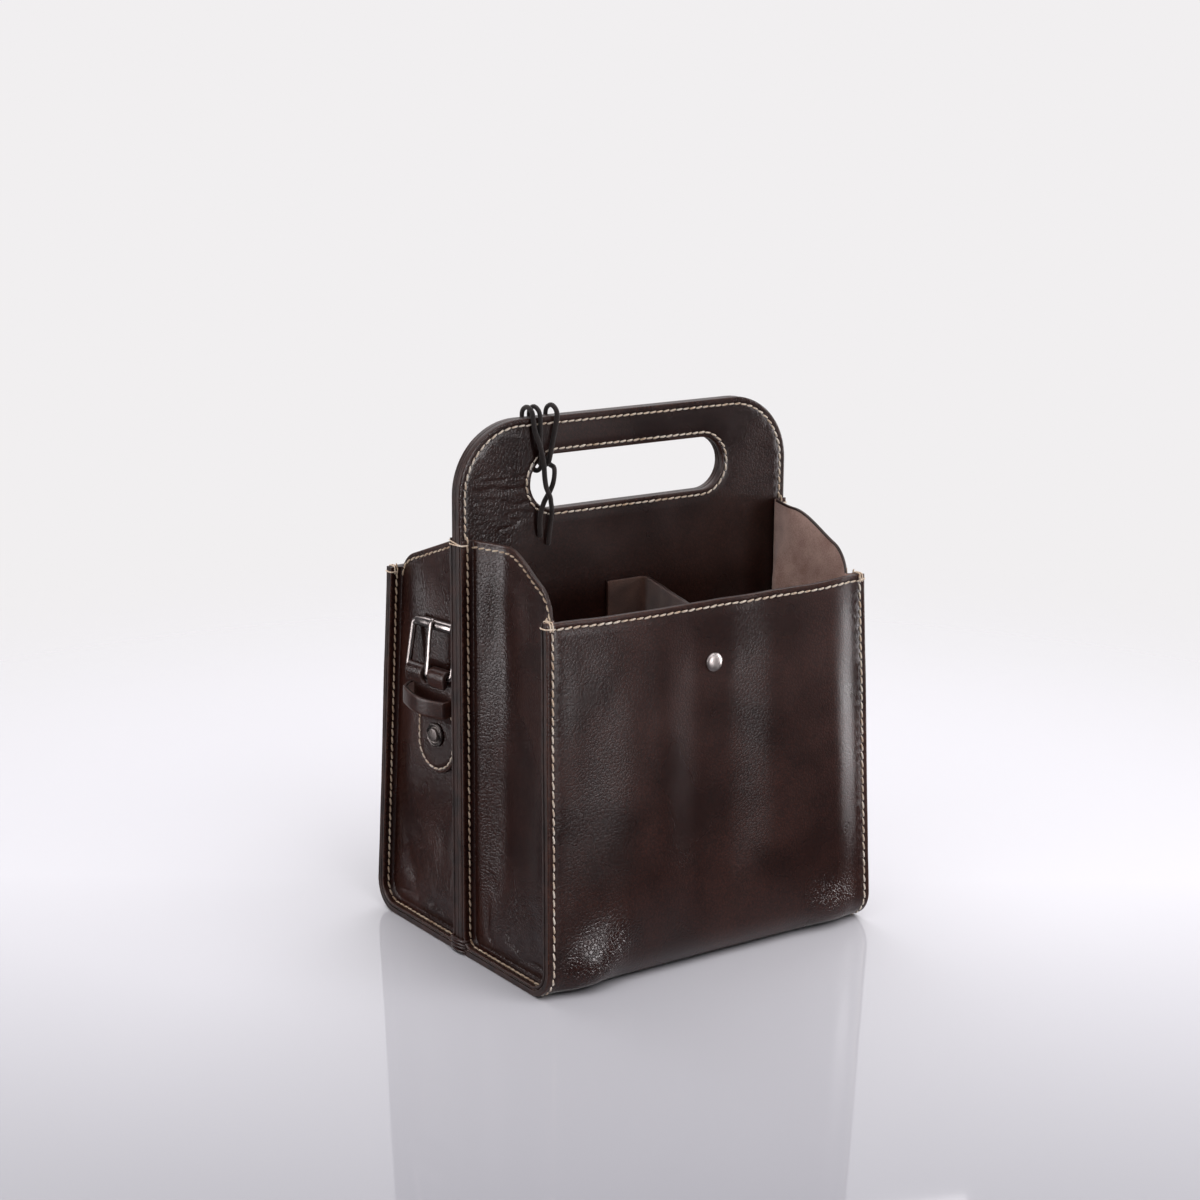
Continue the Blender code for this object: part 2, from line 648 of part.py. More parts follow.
def build_keeper(side_name, seat):
    """Leather loop round the tab that bulges outwards, to hold a strap's end."""
    half = TAB_WIDTH / 2 + KEEPER_SIDE_GAP + KEEPER_T / 2
    low = GAP + KEEPER_T / 2
    corner = KEEPER_CORNER
    loop = arc((-half + corner, low + corner), corner, 180, 270, 3)
    loop += arc((half - corner, low + corner), corner, 270, 360, 3)
    loop.append((half, KEEPER_SIDE_OUT - corner))
    crown = []
    for k in range(11):
        share = -1 + 2 * k / 10
        rise = (KEEPER_CROWN_OUT - KEEPER_SIDE_OUT) * math.cos(share * math.pi / 2)
        crown.append((-share * (half - corner * 0.4), KEEPER_SIDE_OUT + rise))
    loop += crown
    loop.append((-half, KEEPER_SIDE_OUT - corner))
    ends = (KEEPER_RISE - KEEPER_HEIGHT / 2, KEEPER_RISE + KEEPER_HEIGHT / 2)
    rows = [[(x, rise, out) for rise in ends] for x, out in loop + loop[:1]]
    bm = sheet_mesh(rows)
    bmesh.ops.remove_doubles(bm, verts=bm.verts, dist=0.01 * MM)
    return placed(thickened(finished(side_name + "_keeper", bm, LEATHER), KEEPER_T, 0.0), seat)


def build_tab_rivet(side_name, seat, tab, gusset):
    """Stepped rivet through the tab and the gusset, its ring and stud outside."""
    face = GAP + TAB_T
    axis = empty(side_name + "_tab_rivet_axis", Matrix.Translation((0, -TAB_RIVET_DROP, face)), seat)
    stack = TAB_T + GAP + GUSSET_T
    end = -stack - GAP - BACK_T
    profile = [(0.0, end), (TAB_POST_RADIUS, end), (TAB_POST_RADIUS, GAP), (RING_RADIUS, GAP)]
    profile += [(RING_RADIUS, GAP + RING_RISE / 2), (RING_CREST, GAP + RING_RISE)]
    profile += [(RECESS_RADIUS, GAP + RECESS_FLOOR), (STUD_RADIUS, GAP + RECESS_FLOOR)]
    profile += [(STUD_RADIUS, GAP + STUD_RISE - STUD_RADIUS / 6), (STUD_RADIUS * 0.75, GAP + STUD_RISE)]
    profile.append((0.0, GAP + STUD_RISE))
    placed(turned(side_name + "_tab_rivet_cap", profile, GUNMETAL), axis)
    back = back_profile(-stack, TAB_POST_RADIUS + GAP)
    placed(turned(side_name + "_tab_rivet_back", back, GUNMETAL, closed=True), axis)
    hole = drill(side_name + "_tab_rivet_hole", TAB_POST_RADIUS + GAP, 4 * stack, axis)
    cut(tab, hole)
    cut(gusset, hole)


def wire(name, points, radius, look, closed, sides=2):
    """A round wire or cord along points."""
    curve = bpy.data.curves.new(name, 'CURVE')
    curve.dimensions = '3D'
    curve.bevel_depth = radius
    curve.bevel_resolution = sides
    curve.use_fill_caps = not closed
    line = curve.splines.new('POLY')
    line.points.add(len(points) - 1)
    for spot, point in zip(line.points, points):
        spot.co = (*point, 1.0)
    line.use_cyclic_u = closed
    line.use_smooth = True
    made = bpy.data.objects.new(name, curve)
    bpy.context.scene.collection.objects.link(made)
    curve.materials.append(material(name, *look))
    return made


def build_buckle(side_name, seat):
    """Wire frame, roller and prong; X along the bar, Y up the frame, Z outwards."""
    roller_out = GAP + ROLLER_RADIUS
    tilt = math.asin((BAR_OUT - roller_out) / BUCKLE_PITCH)
    matrix = Matrix.Translation((0, BAR_RISE, BAR_OUT)) @ Matrix.Rotation(-tilt, 4, 'X')
    bar_axis = empty(side_name + "_bar_axis", matrix, seat)
    half = TAB_WIDTH / 2 + WIRE_TO_TAB_EDGE + WIRE_RADIUS
    corner = BUCKLE_CORNER_RADIUS
    middles = ((half - corner, corner), (half - corner, BUCKLE_PITCH - corner))
    points = arc(middles[0], corner, -90, 0, 4) + arc(middles[1], corner, 0, 90, 4)
    points += [(-x, y) for x, y in reversed(points)]
    placed(wire(side_name + "_buckle_frame", [(x, y, 0.0) for x, y in points], WIRE_RADIUS, NICKEL, True), bar_axis)

    turn = Matrix.Translation((0, BUCKLE_PITCH, 0)) @ Matrix.Rotation(math.radians(90), 4, 'Y')
    roller_axis = empty(side_name + "_roller_axis", turn, bar_axis)
    length = half - corner - ROLLER_SIDE_GAP
    edge = 0.3 * (ROLLER_RADIUS - ROLLER_BORE_RADIUS)
    profile = [(ROLLER_BORE_RADIUS, -length), (ROLLER_RADIUS - edge, -length), (ROLLER_RADIUS, -length + edge)]
    profile += [(ROLLER_RADIUS, length - edge), (ROLLER_RADIUS - edge, length), (ROLLER_BORE_RADIUS, length)]
    placed(turned(side_name + "_buckle_roller", profile, NICKEL, closed=True, steps=16), roller_axis)
    placed(build_prong(side_name), bar_axis)


def prong_path():
    """Middle line of the prong in its own plane, as (along, out) points: eye, shank and tip."""
    eye = WIRE_RADIUS + PRONG_TO_WIRE + PRONG_T / 2
    rest = ROLLER_RADIUS + GAP + PRONG_T / 2
    line = arc((0.0, 0.0), eye, PRONG_EYE_START, PRONG_EYE_END, EYE_STEPS)
    for share in (0.22, 0.5, 0.8):
        line.append((share * BUCKLE_PITCH, eye + (rest - eye) * smooth_step(share)))
    return line + arc((BUCKLE_PITCH, 0.0), rest, PRONG_OVER_ANGLE, PRONG_TIP_ANGLE, BEND_STEPS)


def build_prong(side_name):
    """Flat prong: an open eye round the bar, a tapered shank and a tip curled over the roller."""
    line = prong_path()
    last = len(line) - 1
    bm = bmesh.new()
    rings = []
    for k, (y, z) in enumerate(line):
        along = Vector(line[min(k + 1, last)]) - Vector(line[max(k - 1, 0)])
        along.normalize()
        taper = min(max((k - EYE_STEPS) / (last - EYE_STEPS), 0.0), 1.0)
        half = (PRONG_WIDTH + (PRONG_TIP_WIDTH - PRONG_WIDTH) * taper) / 2
        section = prong_section(half, PRONG_T / 4)
        rings.append([bm.verts.new((x, y - along.y * t, z + along.x * t)) for x, t in section])
    for a, b in zip(rings, rings[1:]):
        for k in range(len(a)):
            bm.faces.new((a[k - 1], a[k], b[k], b[k - 1]))
    bm.faces.new(rings[0])
    bm.faces.new(reversed(rings[-1]))
    return finished(side_name + "_buckle_prong", bm, NICKEL)


def prong_section(half, chamfer):
    """Eight-sided section of the prong: (across, through) points."""
    flat = half - chamfer
    deep = PRONG_T / 2
    shallow = deep - chamfer
    return ((half, shallow), (flat, deep), (-flat, deep), (-half, shallow),
            (-half, -shallow), (-flat, -deep), (flat, -deep), (half, -shallow))


def smooth_route(points):
    """Even points on a Catmull-Rom curve through the route."""
    fine = []
    for k in range(len(points) - 1):
        p0 = Vector(points[max(k - 1, 0)])
        p1 = Vector(points[k])
        p2 = Vector(points[k + 1])
        p3 = Vector(points[min(k + 2, len(points) - 1)])
        for step in range(CURVE_STEPS):
            t = step / CURVE_STEPS
            a = 2 * p1 + (p2 - p0) * t
            b = (2 * p0 - 5 * p1 + 4 * p2 - p3) * t * t
            c = (3 * p1 - p0 - 3 * p2 + p3) * t ** 3
            fine.append(tuple((a + b + c) * 0.5))
    fine.append(tuple(points[-1]))
    return spaced(fine, LACE_STEPS)


def build_lace():
    """Thin lace looped over the left end of the handle bar and half-knotted in front."""
    route = [tuple(value * MM for value in point) for point in LACE_ROUTE]
    return wire("lace", smooth_route(route), LACE_RADIUS, LACE_LEATHER, False)


def build():
    """Make the whole carrier."""
    clear_scene()
    sheet = build_outer_sheet()
    build_divider()
    gussets = {}
    for depth_name, half in (("front", -1), ("rear", 1)):
        for side_name, side in (("left", -1), ("right", 1)):
            key = "gusset_" + depth_name + "_" + side_name
            gussets[key] = build_gusset(key, side, half)
    front = build_separator("separator_front", -1)
    rear = build_separator("separator_rear", 1)
    build_panel_rivet("front_rivet", 1, sheet, front)
    build_panel_rivet("rear_rivet", -1, sheet, rear)
    build_divider_rivet((front, rear))
    for side_name, side, gusset in (("left", -1, "gusset_rear_left"), ("right", 1, "gusset_front_right")):
        seat = empty(side_name + "_tab_seat", tab_seat(side))
        tab = build_tab(side_name, seat)
        build_keeper(side_name, seat)
        build_tab_rivet(side_name, seat, tab, gussets[gusset])
        build_buckle(side_name, seat)
    build_lace()
    bpy.context.view_layer.update()


build()
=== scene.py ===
# %% [markdown]
# # A leather carrier with four pockets
#
# A saddler cuts this carrier from oiled bridle leather: one long sheet folded up into two panels,
# four thin gussets, a double divider that rises out of the bag as its handle, and a buckle tab at
# each end. Everything is sewn with pale waxed linen thread and set with nickel rivets.
# The CAD solids give the sizes and the joints. This script lays real-looking leather, thread and
# metal over them, piece by piece, in the order in which the bag is made.

# %% Load the frame
import math

import bmesh
import bpy
import numpy as np
from mathutils import Matrix, Vector, geometry, kdtree, noise


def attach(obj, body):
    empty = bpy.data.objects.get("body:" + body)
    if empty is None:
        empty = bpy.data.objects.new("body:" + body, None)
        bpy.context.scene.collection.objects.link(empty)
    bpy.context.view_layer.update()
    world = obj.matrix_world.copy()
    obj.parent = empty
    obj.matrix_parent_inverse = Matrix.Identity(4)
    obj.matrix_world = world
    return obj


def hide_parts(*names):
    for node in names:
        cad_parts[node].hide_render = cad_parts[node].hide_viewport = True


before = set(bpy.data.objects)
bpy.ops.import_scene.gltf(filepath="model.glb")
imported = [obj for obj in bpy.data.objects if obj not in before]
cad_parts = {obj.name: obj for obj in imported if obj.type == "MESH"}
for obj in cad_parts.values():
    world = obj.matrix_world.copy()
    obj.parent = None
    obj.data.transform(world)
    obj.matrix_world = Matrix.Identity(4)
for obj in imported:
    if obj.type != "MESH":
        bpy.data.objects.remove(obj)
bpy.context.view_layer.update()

MM = 0.001

# %% [markdown]
# ## Camera
#
# The camera stands where the photograph was taken from: in front of the bag, to its left and above.
# Its direction comes from three angles that were fitted to the bag's corners. Two cross products
# turn them into the three axes of the camera, and a small roll levels the horizon.

# %% Camera
CAMERA_PLACE = (-0.6751, -0.9497, 0.4468)
CAMERA_YAW, CAMERA_PITCH, CAMERA_ROLL = map(math.radians, (-34.81, 13.556, 0.343))

back = Vector((math.sin(CAMERA_YAW) * math.cos(CAMERA_PITCH),
               -math.cos(CAMERA_YAW) * math.cos(CAMERA_PITCH),
               math.sin(CAMERA_PITCH)))
right = Vector((0, 0, 1)).cross(back).normalized()
up = back.cross(right)
rolled_right = math.cos(CAMERA_ROLL) * right + math.sin(CAMERA_ROLL) * up
rolled_up = math.cos(CAMERA_ROLL) * up - math.sin(CAMERA_ROLL) * right
camera = bpy.data.objects.new("camera", bpy.data.cameras.new("camera"))
camera.data.sensor_width = 36.0
camera.data.lens = 71.745
camera.data.clip_start = 0.05
bpy.context.scene.collection.objects.link(camera)
camera_axes = Matrix((rolled_right, rolled_up, back)).transposed().to_4x4()
camera.matrix_world = Matrix.Translation(CAMERA_PLACE) @ camera_axes
bpy.context.scene.camera = camera
print("camera", [round(v, 3) for v in camera.location], "lens", camera.data.lens)

# %% [markdown]
# ## Sizes
#
# These are the sizes of the plain model, in millimetres, so each dressed piece lies where its solid
# lies. The panels lean in a little towards the rim, and the sides narrow with them. Two small
# S-curves fade one form into the next throughout.

# %% Sizes of the leather pieces
GAP = 0.3
OUTER_T, GUSSET_T, DIVIDER_T, SEPARATOR_T, TAB_T, KEEPER_T = 3.0, 1.7, 3.3, 2.4, 2.4, 1.8
TOP_WIDTH, BOTTOM_WIDTH, TOP_DEPTH, BOTTOM_DEPTH = 190.0, 197.5, 145.5, 161.6
RIM_HEIGHT, FOLD_RADIUS, NOTCH_X = 181.5, 15.0, 89.5
HANDLE_HEIGHT, HANDLE_CORNER, FOOT_CLEARANCE = 263.5, 34.5, 0.4
HOLE_LENGTH, HOLE_HEIGHT, HOLE_MIDDLE = 116.0, 27.0, 231.5
GUSSET_HEIGHT, SHOULDER_HEIGHT, REAR_SLOPE = 208.5, 192.5, 187.0
DROP_START, DROP_END, ROUND_RUN = 27.0, 70.0, 8.4
SEAM_MARGIN, BEND_RADIUS, FOOT_RADIUS = 6.2, 2.2, 6.0
SEAT_RECESS, SEAT_BACK, SEAT_HEIGHT, SEAT_SLOPE = 8.4, 33.0, 110.0, 0.14
SEAT_NEAR, SEAT_FAR = 16.0, 52.0
RIVET_HEIGHT = 150.5

PANEL_LEAN = math.atan2((BOTTOM_DEPTH - TOP_DEPTH) / 2, RIM_HEIGHT)
SIDE_LEAN = (BOTTOM_WIDTH - TOP_WIDTH) / 2 / RIM_HEIGHT
DIVIDER_HALF = DIVIDER_T + GAP / 2
NOTCH_HALF = DIVIDER_HALF + GAP
FIN_HALF_WIDTH = BOTTOM_WIDTH / 2 - 0.25


def half_width(height):
    """Half the width of the outer sheet at a height."""
    return BOTTOM_WIDTH / 2 - SIDE_LEAN * height


def panel_line(depth, height):
    """Distance from the middle plane of a surface that lies depth inside a panel's outer face."""
    return BOTTOM_DEPTH / 2 - depth / math.cos(PANEL_LEAN) - math.tan(PANEL_LEAN) * height


def smooth_step(value):
    """An S-curve from 0 to 1."""
    value = min(max(value, 0.0), 1.0)
    return value * value * (3 - 2 * value)


def between(value, start, rise, end, fall):
    """1 between two places and 0 outside them, rising and falling softly over two lengths."""
    return smooth_step((value - start) / rise) * smooth_step((end - value) / fall)


FOLD_CENTRE = (panel_line(FOLD_RADIUS, FOLD_RADIUS), FOLD_RADIUS)
print("panel leans by", round(math.degrees(PANEL_LEAN), 2), "degrees, sides by",
      round(math.degrees(math.atan(SIDE_LEAN)), 2))

# %% [markdown]
# ## The lace
#
# A thin leather lace is looped three times over the left end of the handle, and its two ends hang
# down in front. It could be a curve with a round bevel, but a real lace is cut, not extruded, so
# its thickness wanders. A tube is laid ring by ring along the route instead. Each ring is turned
# with the route, so the tube never twists sharply.

# %% Lace route and tube
LACE_RADIUS, LACE_SIDES, LACE_RINGS = 1.2, 12, 260
LACE_ROUTE = (
    (-49.2, -5.4, 201.0), (-48.6, -5.4, 207.0), (-47.8, -5.6, 213.0), (-48.0, -6.6, 218.5),
    (-50.2, -9.2, 222.4), (-52.2, -11.4, 226.0), (-53.6, -10.2, 230.6), (-53.6, -8.8, 235.6),
    (-53.8, -8.5, 241.0), (-54.8, -8.4, 246.5), (-56.0, -7.6, 252.0), (-57.2, -5.8, 257.5),
    (-57.8, -5.3, 262.5), (-57.8, -4.1, 266.5), (-57.8, 0.0, 268.4), (-57.7, 4.1, 266.5),
    (-57.4, 5.3, 262.5), (-56.2, 5.4, 254.5), (-54.0, 5.8, 244.0), (-53.2, 4.5, 239.4),
    (-53.0, 0.0, 237.2), (-53.0, -4.2, 239.2), (-53.4, -5.5, 244.0), (-53.7, -5.2, 254.5),
    (-53.8, -5.3, 262.5), (-53.8, -4.1, 266.5), (-53.8, 0.0, 268.4), (-53.6, 4.1, 266.5),
    (-53.2, 5.3, 262.5), (-51.8, 5.3, 254.5), (-49.6, 5.5, 246.0), (-49.2, 4.2, 241.4),
    (-49.0, 0.0, 239.3), (-48.6, -4.2, 241.4), (-48.0, -5.4, 246.0), (-46.0, -5.2, 254.5),
    (-44.3, -5.3, 262.5), (-44.0, -4.1, 266.5), (-44.0, 0.0, 268.4), (-44.0, 4.1, 266.5),
    (-44.0, 5.3, 262.5), (-44.1, 5.3, 254.5), (-44.3, 5.4, 246.5), (-44.5, 4.1, 241.9),
    (-44.8, 0.0, 239.4), (-45.4, -4.4, 238.6), (-47.2, -7.6, 236.0), (-48.6, -8.4, 231.6),
    (-49.6, -6.6, 227.0), (-51.8, -5.8, 222.8), (-54.0, -6.4, 218.2), (-54.4, -5.8, 212.4),
    (-53.8, -5.4, 205.5),
)


def through(points, steps):
    """A Catmull-Rom curve through points, with steps points in each leg."""
    fine = []
    for k in range(len(points) - 1):
        p0 = Vector(points[max(k - 1, 0)])
        p1 = Vector(points[k])
        p2 = Vector(points[k + 1])
        p3 = Vector(points[min(k + 2, len(points) - 1)])
        for step in range(steps):
            t = step / steps
            a = 2 * p1 + (p2 - p0) * t
            b = (2 * p0 - 5 * p1 + 4 * p2 - p3) * t * t
            c = (3 * p1 - p0 - 3 * p2 + p3) * t ** 3
            fine.append((a + b + c) * 0.5)
    return fine + [Vector(points[-1])]


def length_of(points):
    """Length of a polyline."""
    return sum((b - a).length for a, b in zip(points, points[1:]))


def evenly(points, count):
    """count + 1 points at even steps along a polyline."""
    marks = [0.0]
    for a, b in zip(points, points[1:]):
        marks.append(marks[-1] + (b - a).length)
    made = []
    leg = 0
    for k in range(count + 1):
        want = marks[-1] * k / count
        while leg < len(points) - 2 and marks[leg + 1] < want:
            leg += 1
        span = marks[leg + 1] - marks[leg]
        made.append(points[leg].lerp(points[leg + 1], (want - marks[leg]) / span))
    return made


def ring_faces(rings, sides, closed=False):
    """Faces between rings of points laid one after another; an open tube gets two end faces."""
    faces = []
    for k in range(rings if closed else rings - 1):
        low, high = k * sides, (k + 1) % rings * sides
        faces += [(low + n, low + (n + 1) % sides, high + (n + 1) % sides, high + n) for n in range(sides)]
    if not closed:
        faces += [tuple(range(sides)), tuple(range((rings - 1) * sides, rings * sides))]
    return faces


def mesh_object(name, points, faces):
    """A mesh object from points in millimetres, its faces turned outwards and smooth."""
    mesh = bpy.data.meshes.new(name)
    mesh.from_pydata([tuple(Vector(point) * MM) for point in points], [], faces)
    bm = bmesh.new()
    bm.from_mesh(mesh)
    bmesh.ops.recalc_face_normals(bm, faces=bm.faces)
    bm.to_mesh(mesh)
    bm.free()
    mesh.shade_smooth()
    made = bpy.data.objects.new(name, mesh)
    bpy.context.scene.collection.objects.link(made)
    return made


def tube(name, path, radius_at, sides, closed=False):
    """A tube along a path; radius_at(k, angle) gives the radius of ring k in a direction."""
    points = []
    side_way = None
    last = len(path) - 1
    for k, point in enumerate(path):
        if closed:
            along = (path[(k + 1) % len(path)] - path[k - 1]).normalized()
        else:
            along = (path[min(k + 1, last)] - path[max(k - 1, 0)]).normalized()
        if side_way is None:
            side_way = along.orthogonal().normalized()
        side_way = (side_way - along * side_way.dot(along)).normalized()
        other = along.cross(side_way)
        for n in range(sides):
            angle = math.tau * n / sides
            reach = radius_at(k, angle)
            points.append(point + (side_way * math.cos(angle) + other * math.sin(angle)) * reach)
    return mesh_object(name, points, ring_faces(len(path), sides, closed))


lace_line = through(LACE_ROUTE, 12)
lace_path = evenly(lace_line, LACE_RINGS)


def lace_radius(k, angle):
    """Radius of the lace: a cut strip, a little flat, thinner here and there and at its ends."""
    wander = noise.noise(Vector((k * 0.11, 0.0, 3.0))) * 0.08
    flat = 0.05 * math.cos(2 * angle + k * 0.05)
    close = 0.72 if k in (0, LACE_RINGS) else 1.0
    return LACE_RADIUS * (0.97 + wander + flat) * close


lace = tube("lace", lace_path, lace_radius, LACE_SIDES)

# %% [markdown]
# ## Colours and nodes
#
# Colours are written as sRGB hex values, the way a picture program shows them, and turned to the
# linear values that the renderer wants. One helper adds a node with its settings and its links,
# so that a material reads like a list of layers.

# %% Helpers for materials
def linear(code):
    """An sRGB hex colour as linear RGBA."""
    parts = [int(code[k:k + 2], 16) / 255 for k in (0, 2, 4)]
    return [v / 12.92 if v <= 0.04045 else ((v + 0.055) / 1.055) ** 2.4 for v in parts] + [1.0]


def add(tree, kind, inputs=None, **settings):
    """Add a node: settings are its properties, inputs its sockets, as values or as links."""
    node = tree.nodes.new(kind)
    for key, value in settings.items():
        setattr(node, key, value)
    for key, value in (inputs or {}).items():
        if isinstance(value, bpy.types.NodeSocket):
            tree.links.new(value, node.inputs[key])
        else:
            node.inputs[key].default_value = value
    return node


def new_material(name):
    """An empty node material with its Principled shader and coordinates in millimetres."""
    made = bpy.data.materials.new(name)
    made.use_nodes = True
    tree = made.node_tree
    shader = tree.nodes["Principled BSDF"]
    coords = add(tree, "ShaderNodeTexCoord")
    place = add(tree, "ShaderNodeMapping", {"Vector": coords.outputs["Object"], "Scale": (1 / MM,) * 3})
    return made, tree, shader, place.outputs[0]


OILED_DARK, OILED_LIGHT, OILED_RUBBED = "27110C", "371911", "5A392C"
# The handle's colours are a darker copy of the oiled leather's: painted shade.
SHADED_HANDLE_DARK, SHADED_HANDLE_LIGHT, SHADED_HANDLE_RUBBED = "200E0A", "2E1610", "4E3026"
print("oiled leather in linear values:", [round(v, 3) for v in linear(OILED_DARK)])

# %% [markdown]
# ## Bridle leather, grain side
#
# Bridle leather is full-grain cowhide, dyed through and stuffed with oil and wax. The eye sees a
# dark red-brown that drifts in slow clouds, a fine pebble of pores, and soft broad highlights that
# the pebble breaks up. Cut edges are rubbed lighter, and small scratches catch the light. The
# pebble is a Voronoi pattern measured by its distance to the cell borders, bent by noise so that no
# cell is straight, and its creases are painted darker, as painted shade. On the real hide it is
# about 0.8 mm wide, too fine to show in the render, so it is drawn as coarse as it needs to show:
# cells of 1.8 mm and pores of 1 mm. Where the hide is pressed out it stands up and shines, and the
# attribute "press" says where that is. The handle's leather is painted darker: painted shade, the
# shade that what the pockets carry casts on it.

# %% Leather, grain side
CLOUD_SIZE, SPOT_SIZE, PEBBLE_SIZE, PORE_SIZE = 34.0, 2.4, 1.8, 1.0
PEBBLE_DEPTH, PORE_DEPTH, SCRATCH_DEPTH = 0.00026, 0.00008, 0.00006
# The pebble's creases are painted darker in the colour, as painted shade.
FLAT_PEBBLE, CREASE_SHADE, SHINE_OF_PRESSED = 0.11, 0.68, -0.11


def grain_leather(name, dark, light, rubbed):
    """Oiled full-grain leather, pebbled and clouded."""
    made, tree, shader, place = new_material(name)
    rub = add(tree, "ShaderNodeAttribute", attribute_name="rub")
    press = add(tree, "ShaderNodeAttribute", attribute_name="press")
    clouds = add(tree, "ShaderNodeTexNoise", {"Vector": place, "Scale": 1 / CLOUD_SIZE, "Detail": 2.0})
    spots = add(tree, "ShaderNodeTexNoise", {"Vector": place, "Scale": 1 / SPOT_SIZE, "Detail": 2.0})
    mixed = add(tree, "ShaderNodeMath", {0: spots.outputs[0], 1: 0.22, 2: clouds.outputs[0]},
                operation='MULTIPLY_ADD')
    share = add(tree, "ShaderNodeMapRange", {"Value": mixed.outputs[0], "From Min": 0.40, "From Max": 0.84},
                interpolation_type='SMOOTHSTEP')
    tint = add(tree, "ShaderNodeMix", {0: share.outputs[0], 6: linear(dark), 7: linear(light)},
               data_type='RGBA')
    wander = add(tree, "ShaderNodeTexNoise", {"Vector": place, "Scale": 0.9, "Detail": 1.0})
    bent = add(tree, "ShaderNodeMixRGB", {"Fac": 0.55, "Color1": place, "Color2": wander.outputs["Color"]},
               blend_type='ADD')
    cells = add(tree, "ShaderNodeTexVoronoi",
                {"Vector": bent.outputs[0], "Scale": 1 / PEBBLE_SIZE, "Randomness": 0.95},
                feature='DISTANCE_TO_EDGE')
    pebble = add(tree, "ShaderNodeMapRange", {"Value": cells.outputs[0], "From Min": 0.0, "From Max": 0.22},
                 interpolation_type='SMOOTHSTEP')
    pores = add(tree, "ShaderNodeTexNoise",
                {"Vector": place, "Scale": 1 / PORE_SIZE, "Detail": 2.0, "Roughness": 0.6})
    flecks = add(tree, "ShaderNodeMapRange", {"Value": pores.outputs[0], "From Min": 0.34, "From Max": 0.66,
                                              "To Min": 0.62, "To Max": 1.3})
    coarse = add(tree, "ShaderNodeMapRange", {"Value": press.outputs["Fac"], "To Min": FLAT_PEBBLE})
    scratch_place = add(tree, "ShaderNodeMapping", {"Vector": place, "Rotation": (0.3, 0.5, 0.4),
                                                    "Scale": (0.9, 0.9, 0.05)})
    strokes = add(tree, "ShaderNodeTexNoise",
                  {"Vector": scratch_place.outputs[0], "Scale": 1.0, "Detail": 1.0})
    scratch = add(tree, "ShaderNodeMapRange",
                  {"Value": strokes.outputs[0], "From Min": 0.76, "From Max": 0.86})
    worn = add(tree, "ShaderNodeMath", {0: scratch.outputs[0], 1: 0.2, 2: rub.outputs["Fac"]},
               operation='MULTIPLY_ADD')
    worn_share = add(tree, "ShaderNodeMath", {0: worn.outputs[0], 1: spots.outputs[0]}, operation='MULTIPLY')
    colour = add(tree, "ShaderNodeMix", {0: worn_share.outputs[0], 6: tint.outputs[2], 7: linear(rubbed)},
                 data_type='RGBA')
    # Painted shade: the colour is darker in the creases between the pebbles; the pore flecks are the hide's
    # own tone.
    painted_crease_shade = add(tree, "ShaderNodeMapRange", {"Value": pebble.outputs[0], "To Min": CREASE_SHADE})
    crease_shade_and_flecks = add(tree, "ShaderNodeMath", {0: painted_crease_shade.outputs[0], 1: flecks.outputs[0]}, operation='MULTIPLY')
    shaded = add(tree, "ShaderNodeMix", {0: 1.0, 6: colour.outputs[2], 7: crease_shade_and_flecks.outputs[0]},
                 data_type='RGBA', blend_type='MULTIPLY')
    tree.links.new(shaded.outputs[2], shader.inputs["Base Color"])
    gloss = add(tree, "ShaderNodeMapRange", {"Value": clouds.outputs[0], "From Min": 0.3, "From Max": 0.7,
                                             "To Min": 0.25, "To Max": 0.33})
    pulled = add(tree, "ShaderNodeMath",
                 {0: press.outputs["Fac"], 1: SHINE_OF_PRESSED, 2: gloss.outputs[0]},
                 operation='MULTIPLY_ADD')
    tree.links.new(pulled.outputs[0], shader.inputs["Roughness"])
    shader.inputs["IOR"].default_value = 1.5
    shader.inputs["Coat Weight"].default_value = 0.06
    shader.inputs["Coat Roughness"].default_value = 0.16
    fine = add(tree, "ShaderNodeBump", {"Height": pores.outputs[0], "Strength": 0.22, "Distance": PORE_DEPTH})
    grain = add(tree, "ShaderNodeBump", {"Height": pebble.outputs[0], "Strength": coarse.outputs[0],
                                         "Distance": PEBBLE_DEPTH, "Normal": fine.outputs[0]})
    nick = add(tree, "ShaderNodeBump", {"Height": scratch.outputs[0], "Strength": 0.15,
                                        "Distance": SCRATCH_DEPTH, "Normal": grain.outputs[0]}, invert=True)
    tree.links.new(nick.outputs[0], shader.inputs["Normal"])
    return made


oiled_leather = grain_leather("oiled_bridle_leather", OILED_DARK, OILED_LIGHT, OILED_RUBBED)
# A darker copy of the leather for the handle: painted shade.
shaded_handle_leather = grain_leather("shaded_handle_bridle_leather", SHADED_HANDLE_DARK, SHADED_HANDLE_LIGHT, SHADED_HANDLE_RUBBED)
print(oiled_leather.name, "has", len(oiled_leather.node_tree.nodes), "nodes")

# %% [markdown]
# ## Flesh side and burnished edge
#
# The back of the hide is its flesh side: matt, felted and paler, with a short nap. The cut edge
# shows that the leather is fibres, so a saddler dampens it and rubs it with bone until it is dark
# and smooth. Neither needs geometry: a felted noise bump does for the nap, and a finer, shallower
# one for what is left of the fibres in the edge.

